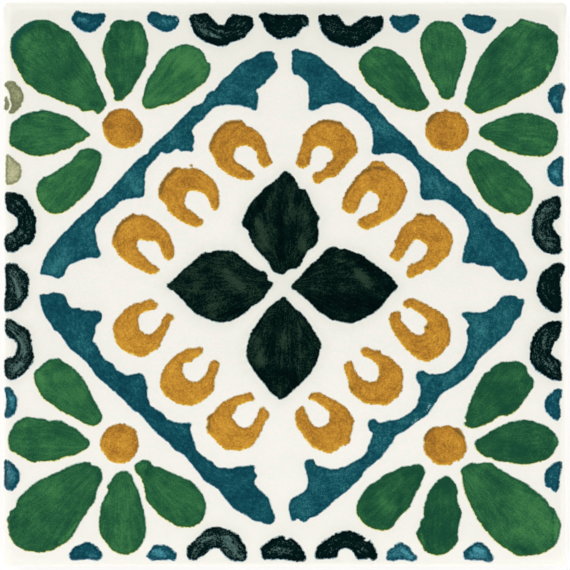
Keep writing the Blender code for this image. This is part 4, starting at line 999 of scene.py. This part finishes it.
def film_height(depth):
    """How far a painted film stands above the white glaze, by the distance inside its outline."""
    rise = FILM * (1 - np.exp(-(depth / FILM_REACH) ** 2))
    pool = POOL * np.exp(-((depth - POOL_PLACE) / POOL_WIDTH) ** 2) * np.minimum(depth / POOL_START, 1)
    return SUNK + rise + pool - 2 * SUNK * np.exp(-depth / SUNK_REACH)


def store(mesh, name, values):
    """A value for each vertex, or an (x, y, z) for each, that the materials read by name."""
    values = np.asarray(values, np.float32)
    kind = "FLOAT" if values.ndim == 1 else "FLOAT_VECTOR"
    spot = mesh.attributes.new(name, kind, "POINT")
    spot.data.foreach_set("value" if kind == "FLOAT" else "vector", values.ravel())


def stroke(spots, ends, radius):
    """1 on the straight line between two ends, falling away over the radius."""
    start, run = np.array(ends[:2]), np.array(ends[2:]) - ends[:2]
    share = np.clip((spots - start) @ run / (run @ run), 0, 1)
    gap = spots - start - share[:, None] * run
    return np.exp(-(gap ** 2).sum(1) / radius ** 2)


def strongest(spots, strokes):
    """At each spot, how much it lies on the nearest of the strokes."""
    share = np.zeros(len(spots))
    for *ends, radius in strokes:
        share = np.maximum(share, stroke(spots, ends, radius))
    return share


def brush_lines(spots, pole, turning):
    """Place of each spot along and across the brush lines, which run away from the pole or round it."""
    away = spots - np.array(pole)
    run = np.hypot(*away.T)
    middle = away.mean(0) if np.hypot(*away.mean(0)) > CLEAR_POLE else spots.mean(0)
    turn = np.arctan2(middle[0] * away[:, 1] - middle[1] * away[:, 0], away @ middle)
    turn *= max(LEAST_SWEEP, run.mean())
    return (turn, run) if turning else (run, turn)


def brush_mark(name, points, material, pole, turning, seed):
    """One painted film, with the values that its material reads. Returns its outline."""
    line = smooth_line(points)
    flat = np.vstack([line, filling(line)])
    outline = [list(range(len(line)))]
    spots, _, faces, *_ = geometry.delaunay_2d_cdt([Vector(p) for p in flat], [], outline, 1, 1e-5)
    spots = np.array([tuple(p) for p in spots])
    depth, toward = nearest(spots, line)
    made = solid(name, raised(spots, face_height(spots) + film_height(depth)), faces)
    tone = np.full(len(spots), TONES.get(name, 0.0))
    for *ends, radius, change in TONE_STROKES:
        tone += change * stroke(spots, ends, radius)
    brush = brush_lines(spots, pole, turning)
    store(made.data, "depth", depth)
    store(made.data, "toward", np.column_stack([toward, np.zeros(len(spots))]))
    store(made.data, "brush", np.column_stack([*brush, np.full(len(spots), seed)]))
    store(made.data, "tone", tone)
    store(made.data, "blot", strongest(spots, SMUDGES))
    store(made.data, "skip", strongest(spots, SKIPS))
    made.data.materials.append(material)
    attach(made, "root")
    return line


class Recipe:
    """Builds a material node by node. Each method returns the socket that it made."""

    def __init__(self, name, roughness):
        self.material = bpy.data.materials.new(name)
        self.material.use_nodes = True
        self.tree = self.material.node_tree
        self.shader = self.tree.nodes["Principled BSDF"]
        self.shader.inputs["Roughness"].default_value = roughness
        self.shader.inputs["Specular IOR Level"].default_value = SPECULAR
        self.place = self.scaled(self.add("ShaderNodeTexCoord", {}, "Object"), (1 / MM,) * 3)

    def put(self, value, socket):
        if isinstance(value, bpy.types.NodeSocket):
            self.tree.links.new(value, socket)
        else:
            socket.default_value = value

    def add(self, kind, inputs, output=0, **settings):
        made = self.tree.nodes.new(kind)
        for key, value in settings.items():
            setattr(made, key, value)
        for key, value in inputs.items():
            self.put(value, made.inputs[key])
        return made.outputs[output]

    def scaled(self, vector, scale):
        return self.add("ShaderNodeMapping", {"Vector": vector, "Scale": scale})

    def stored(self, name, output="Fac"):
        return self.add("ShaderNodeAttribute", {}, output, attribute_name=name)

    def noise(self, size, where=None, detail=2.0, rough=0.5):
        where = where or self.place
        return self.add("ShaderNodeTexNoise",
                        {"Vector": where, "Scale": 1 / size, "Detail": detail, "Roughness": rough})

    def between(self, value, start, end, low=0.0, high=1.0):
        """low where value is at start, high where it is at end, and smooth between."""
        return self.add("ShaderNodeMapRange",
                        {"Value": value, "From Min": start, "From Max": end, "To Min": low, "To Max": high},
                        interpolation_type="SMOOTHSTEP")

    def ramp(self, value, start, end):
        """0 where value is at start, 1 where it is at end, and straight between."""
        return self.add("ShaderNodeMapRange", {"Value": value, "From Min": start, "From Max": end})

    def sum(self, a, b, operation="ADD"):
        return self.add("ShaderNodeMath", {0: a, 1: b}, operation=operation)

    def swing(self, value, weight):
        """A noise of mean one half turned into one of mean nought, times the weight."""
        return self.sum(self.sum(value, 0.5, "SUBTRACT"), weight, "MULTIPLY")

    def mix(self, share, a, b):
        """Colour a turned into colour b by the share. Sockets 6 and 7 take the two, socket 2 gives it."""
        made = self.tree.nodes.new("ShaderNodeMix")
        made.data_type = "RGBA"
        for place, value in ((0, share), (6, a), (7, b)):
            self.put(value, made.inputs[place])
        return made.outputs[2]

    def facing(self, direction):
        """1 where the nearest outline lies in that direction, 0 where it lies the other way."""
        made = self.add("ShaderNodeVectorMath", {0: self.stored("toward", "Vector"), 1: direction},
                        "Value", operation="DOT_PRODUCT")
        return self.between(made, *FACING_SPAN)

    def finish(self, colour, bump=None, strength=0.1, distance=0.02):
        self.put(colour, self.shader.inputs["Base Color"])
        if bump:
            normal = self.add("ShaderNodeBump",
                              {"Height": bump, "Strength": strength, "Distance": distance * MM})
            self.put(normal, self.shader.inputs["Normal"])
        return self.material


def painted(name, colours, streak, mottle, weights, span=(0.0, 0.7), fray=1.0):
    """A coloured glaze: mottled and streaked by the brush, with a dark rim, and bleeding into the white
    through a thin haze, which is the fringe colour at the lower left. The weights are those of its
    clouds, streaks, blotches, grains, single strokes and lighter heart. The light colour comes up over
    the span of levels. The streak is how long its brush lines are, and fray how ragged its edge is."""
    colours = {key: linear(*colour) for key, colour in colours.items()}
    clouds, streaks, blotches, grains, strokes, heart = weights
    mix = Recipe(name, PAINT_ROUGHNESS)
    depth = mix.stored("depth")
    brush = mix.scaled(mix.stored("brush", "Vector"), (1 / streak, 1.0, 1.0))
    level = mix.swing(mix.noise(CLOUD, detail=1.0), clouds)
    for value, weight in (
        (mix.noise(STREAK, brush, 3.0, 0.6), streaks),
        (mix.noise(mottle, detail=4.0, rough=0.65), blotches),
        (mix.noise(GRAIN, detail=1.0), grains),
    ):
        level = mix.sum(level, mix.swing(value, weight))
    level = mix.sum(level, mix.sum(mix.stored("tone"), strokes, "MULTIPLY"))
    level = mix.sum(level, mix.swing(mix.between(depth, BLEED, BLEED + HEART), heart))
    colour = mix.mix(mix.ramp(level, *span), colours["base"], colours["light"])
    colour = mix.mix(mix.ramp(level, 0.0, -0.5), colour, colours["dark"])
    blot = mix.sum(mix.between(mix.stored("blot"), *BLOT_SPAN), BLOT_SHARE, "MULTIPLY")
    colour = mix.mix(blot, colour, colours["smudge"])
    bare = mix.sum(mix.stored("skip"), mix.swing(mix.noise(SKIP_GRAIN, detail=1.0), SKIP_ROUGH))
    bare = mix.sum(mix.between(bare, *SKIP_SPAN), SKIP_SHARE, "MULTIPLY")
    colour = mix.mix(bare, colour, colours["haze"])
    ragged = mix.noise(FRAY_GRAIN, detail=3.0)
    frayed = mix.sum(depth, mix.swing(ragged, fray))
    low = mix.facing(LOWER_LEFT)
    rim = mix.sum(mix.between(frayed, BLEED + RIM, BLEED + RIM / 2), RIM_SHARE, "MULTIPLY")
    colour = mix.mix(rim, colour, mix.mix(low, colours["dark"], colours["low_rim"]))
    lip = mix.mix(low, colours["haze"], colours["fringe"])
    lip = mix.mix(mix.between(depth, 0.0, BLEED), linear(*WHITE), lip)
    edge = mix.sum(depth, mix.swing(ragged, fray * EDGE_FRAY))
    colour = mix.mix(mix.between(edge, *EDGE_SPAN), lip, colour)
    return mix.finish(colour, level, 0.1)


def white_glaze_material():
    mix = Recipe("white_tin_glaze", WHITE_ROUGHNESS)
    cloud = mix.noise(7.0, detail=3.0)
    speck = mix.noise(0.5, detail=3.0)
    tint = mix.noise(0.4, detail=2.0)
    colour = mix.mix(mix.between(cloud, 0.35, 0.65), linear(*WHITE), linear(*WHITE_LOW))
    colour = mix.mix(mix.ramp(tint, 0.5, 0.9), colour, linear(*WHITE_WARM))
    colour = mix.mix(mix.ramp(tint, 0.5, 0.1), colour, linear(*WHITE_COOL))
    colour = mix.mix(mix.sum(mix.between(speck, 0.6, 0.75), 0.3, "MULTIPLY"), colour, linear(*WHITE_GREY))
    # the light attribute is painted light: a highlight on the rim and paler lower parts
    for value, shade in (("wash", WHITE_GREY), ("halo", WHITE_HALO), ("light", WHITE_PAINTED_HIGHLIGHT)):
        colour = mix.mix(mix.stored(value), colour, linear(*shade))
    return mix.finish(colour, mix.noise(1.6, detail=2.0), 0.08)


def clay_material():
    mix = Recipe("fired_clay", DRY_ROUGHNESS)
    grain = mix.noise(0.35, detail=5.0, rough=0.7)
    cloud = mix.noise(8.0, detail=3.0)
    colour = mix.mix(mix.between(cloud, 0.35, 0.65), linear(*CLAY), linear(*CLAY_LOW))
    colour = mix.mix(mix.between(grain, 0.55, 0.75), colour, linear(*CLAY_PALE))
    colour = mix.mix(mix.between(grain, 0.42, 0.3), colour, linear(*CLAY_DARK))
    return mix.finish(colour, grain, 0.5, 0.1)


def floor_material():
    mix = Recipe("pale_floor", DRY_ROUGHNESS)
    colour = mix.mix(mix.noise(40.0), linear(*FLOOR), linear(*FLOOR_LOW))
    mix.put(colour, mix.shader.inputs["Emission Color"])
    mix.shader.inputs["Emission Strength"].default_value = FLOOR_GLOW
    return mix.finish(colour)


GREEN = painted("green", {
    "base": (38, 95, 60), "light": (66, 128, 74), "dark": (22, 73, 51), "low_rim": (34, 82, 50),
    "haze": (168, 200, 180), "fringe": (214, 221, 106), "smudge": (18, 78, 66),
}, streak=6.0, mottle=1.0, weights=(0.9, 1.1, 0.7, 1.3, 0.4, 0.0))
BLUE = painted("blue", {
    "base": (17, 77, 88), "light": (54, 124, 130), "dark": (10, 56, 70), "low_rim": (12, 62, 80),
    "haze": (148, 190, 192), "fringe": (128, 186, 202), "smudge": (10, 56, 70),
}, streak=2.0, mottle=0.7, weights=(0.8, 1.0, 1.2, 1.2, 0.3, 0.0))
SKY = painted("sky", {
    "base": (17, 76, 88), "light": (72, 146, 159), "dark": (6, 50, 64), "low_rim": (8, 58, 78),
    "haze": (148, 190, 196), "fringe": (122, 182, 204), "smudge": (6, 50, 64),
}, streak=1.5, mottle=0.6, weights=(0.4, 1.0, 1.2, 0.9, 0.33, 0.15), span=(0.1, 0.8), fray=1.4)
OCHRE = painted("ochre", {
    "base": (187, 131, 45), "light": (220, 166, 62), "dark": (146, 98, 38), "low_rim": (210, 156, 44),
    "haze": (206, 198, 148), "fringe": (240, 218, 116), "smudge": (108, 88, 46),
}, streak=3.0, mottle=0.7, weights=(0.9, 1.2, 0.9, 1.5, 0.35, 0.0), fray=1.7)
BLACK = painted("black", {
    "base": (0, 23, 20), "light": (40, 62, 48), "dark": (0, 10, 10), "low_rim": (0, 14, 14),
    "haze": (170, 195, 188), "fringe": (160, 190, 190), "smudge": (0, 10, 10),
}, streak=6.0, mottle=0.6, weights=(1.1, 1.4, 0.8, 1.5, 0.38, 0.05))
INK = painted("ink", {
    "base": (0, 24, 24), "light": (88, 118, 112), "dark": (0, 12, 13), "low_rim": (0, 14, 18),
    "haze": (170, 195, 192), "fringe": (146, 188, 200), "smudge": (0, 12, 12),
}, streak=4.5, mottle=0.35, weights=(0.4, 1.8, 1.0, 1.6, 0.33, 0.25), span=(0.27, 1.0), fray=1.5)
OLIVE = painted("olive", {
    "base": (148, 150, 114), "light": (190, 188, 148), "dark": (112, 118, 86), "low_rim": (112, 118, 86),
    "haze": (214, 216, 190), "fringe": (222, 220, 170), "smudge": (104, 112, 84),
}, streak=3.0, mottle=0.6, weights=(0.8, 1.0, 1.4, 1.6, 0.35, 0.35))


def edge_point(points):
    """The point on the tile's edge that a mark of the border was painted round."""
    middle = np.mean(points, 0)
    side = np.abs(middle).argmax()
    middle[side] = math.copysign(HALF, middle[side])
    return tuple(middle)


def brush_pole(name, points, slot, shared):
    """The point that the brush lines of a mark run away from or round."""
    if shared:
        return shared
    if name.startswith("petal"):
        return PETAL_POLES[name.split("_")[1]]
    return tuple(np.mean(points, 0)) if slot == "ochre_glaze" else edge_point(points)


def paint_all():
    """Every brush mark, group by group. Returns their outlines for the tints round them."""
    middle = (0.0, 0.0)
    groups = [
        (GREEN_PETALS, GREEN, "green_glaze", None, False),
        (BLUE_BANDS, BLUE, "blue_glaze", middle, True),
        (OCHRE_CRESCENTS, OCHRE, "ochre_glaze", None, True),
        (OCHRE_DISCS, OCHRE, "ochre_glaze", None, True),
        (BLACK_LEAVES, BLACK, "black_glaze", middle, False),
        (BLUE_MOONS, SKY, "blue_glaze", None, True),
        (BLACK_ARCHES, INK, "black_glaze", None, True),
        (BLACK_HALF_DISCS, INK, "black_glaze", None, True),
        (OLIVE_WASHES, OLIVE, "green_glaze", None, True),
    ]
    lines = []
    for marks, material, slot, shared, turning in groups:
        for name, points in marks.items():
            pole = brush_pole(name, points, slot, shared)
            seed = SEED_STEP * len(lines)
            lines.append((slot, brush_mark(name, points, material, pole, turning, seed)))
    return lines


def slope(values, start, end, least=0.0):
    """0 where a value is at start, 1 where it is at end, straight between, and never below the least."""
    return np.clip((values - start) / (end - start), least, 1)


def halos(spots, lines):
    """How much of the halo round the marks there is at each spot."""
    halo = np.zeros(len(spots))
    for slot, line in lines:
        low, high = line.min(0) - HALO_END, line.max(0) + HALO_END
        near = np.where(((spots > low) & (spots < high)).all(1))[0]
        far, _ = nearest(spots[near], line)
        halo[near] = np.maximum(halo[near], HALOS[slot] * np.exp(-far / HALO_REACH))
    return halo


def tint_white(coat, lines):
    """Tints of the white glaze (halo round the marks, grey patches) and its painted highlight on rim and
    lower parts.
    """
    spots = np.array([tuple(v.co)[:2] for v in coat.data.vertices]) / MM
    x, y = spots.T
    grey = GREY_CORNER * slope(y, *GREY_CORNER_UP) * slope(x, *GREY_CORNER_RIGHT)
    for middle_x, middle_y, wide, high, strength in GREY_HUMPS:
        grey += strength * np.exp(-((x - middle_x) / wide) ** 2 - ((y - middle_y) / high) ** 2)
    # painted highlight along the rim, then painted light on the lower parts, both kept as light
    light = slope(ring_half(spots) - HALF, *PAINTED_RIM_HIGHLIGHT)
    light *= slope(y, *PAINTED_HIGHLIGHT_TOP) * slope(x, *PAINTED_HIGHLIGHT_LEFT)
    for start, full, strength in PAINTED_LOW_LIGHTS:
        light = np.maximum(light, strength * slope(y, start, full))
    store(coat.data, "halo", halos(spots, lines))
    # greying: the white drawn greyer at the top, in the upper right part and in the middle
    store(coat.data, "wash", np.minimum(grey, 1))
    store(coat.data, "light", light)


def build_tile():
    clay = clay_slab()
    clay.data.materials.append(clay_material())
    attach(clay, "root")
    coat = glaze_coat()
    coat.data.materials.append(white_glaze_material())
    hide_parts("tile")
    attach(coat, "root")
    tint_white(coat, paint_all())


def build_floor():
    far, low = FLOOR_HALF, FLOOR_HEIGHT
    corners = [(-far, -far, low), (far, -far, low), (far, far, low), (-far, far, low)]
    floor = solid("floor", corners, [(0, 1, 2, 3)])
    floor.data.materials.append(floor_material())


def lamp(name, azimuth, elevation, power):
    data = bpy.data.lights.new(name, "AREA")
    data.shape = "DISK"
    data.size = LAMP_SIZE
    data.energy = power
    made = bpy.data.objects.new(name, data)
    turn, rise = math.radians(azimuth), math.radians(elevation)
    way = Vector((math.cos(turn) * math.cos(rise), math.sin(turn) * math.cos(rise), math.sin(rise)))
    made.location = way * LAMP_DISTANCE
    made.rotation_euler = way.to_track_quat("Z", "Y").to_euler()
    bpy.context.scene.collection.objects.link(made)


def light_scene():
    for name, place in LAMPS.items():
        lamp(name, *place)
    world = bpy.data.worlds.new("studio")
    world.use_nodes = True
    back = world.node_tree.nodes["Background"]
    back.inputs["Color"].default_value = WORLD_COLOUR
    back.inputs["Strength"].default_value = WORLD_STRENGTH
    bpy.context.scene.world = world
    bpy.context.scene.view_settings.view_transform = "Standard"


def place_camera():
    data = bpy.data.cameras.new("camera")
    data.sensor_width = SENSOR
    data.lens = LENS
    data.clip_start = CLIP_START
    camera = bpy.data.objects.new("camera", data)
    face = RIM_HEIGHT + CROWN / 2
    camera.location = (0.0, -PICTURE_DOWN * MM, (face + PICTURE_WIDTH * LENS / SENSOR) * MM)
    bpy.context.scene.collection.objects.link(camera)
    bpy.context.scene.camera = camera


build_tile()
build_floor()
light_scene()
place_camera()
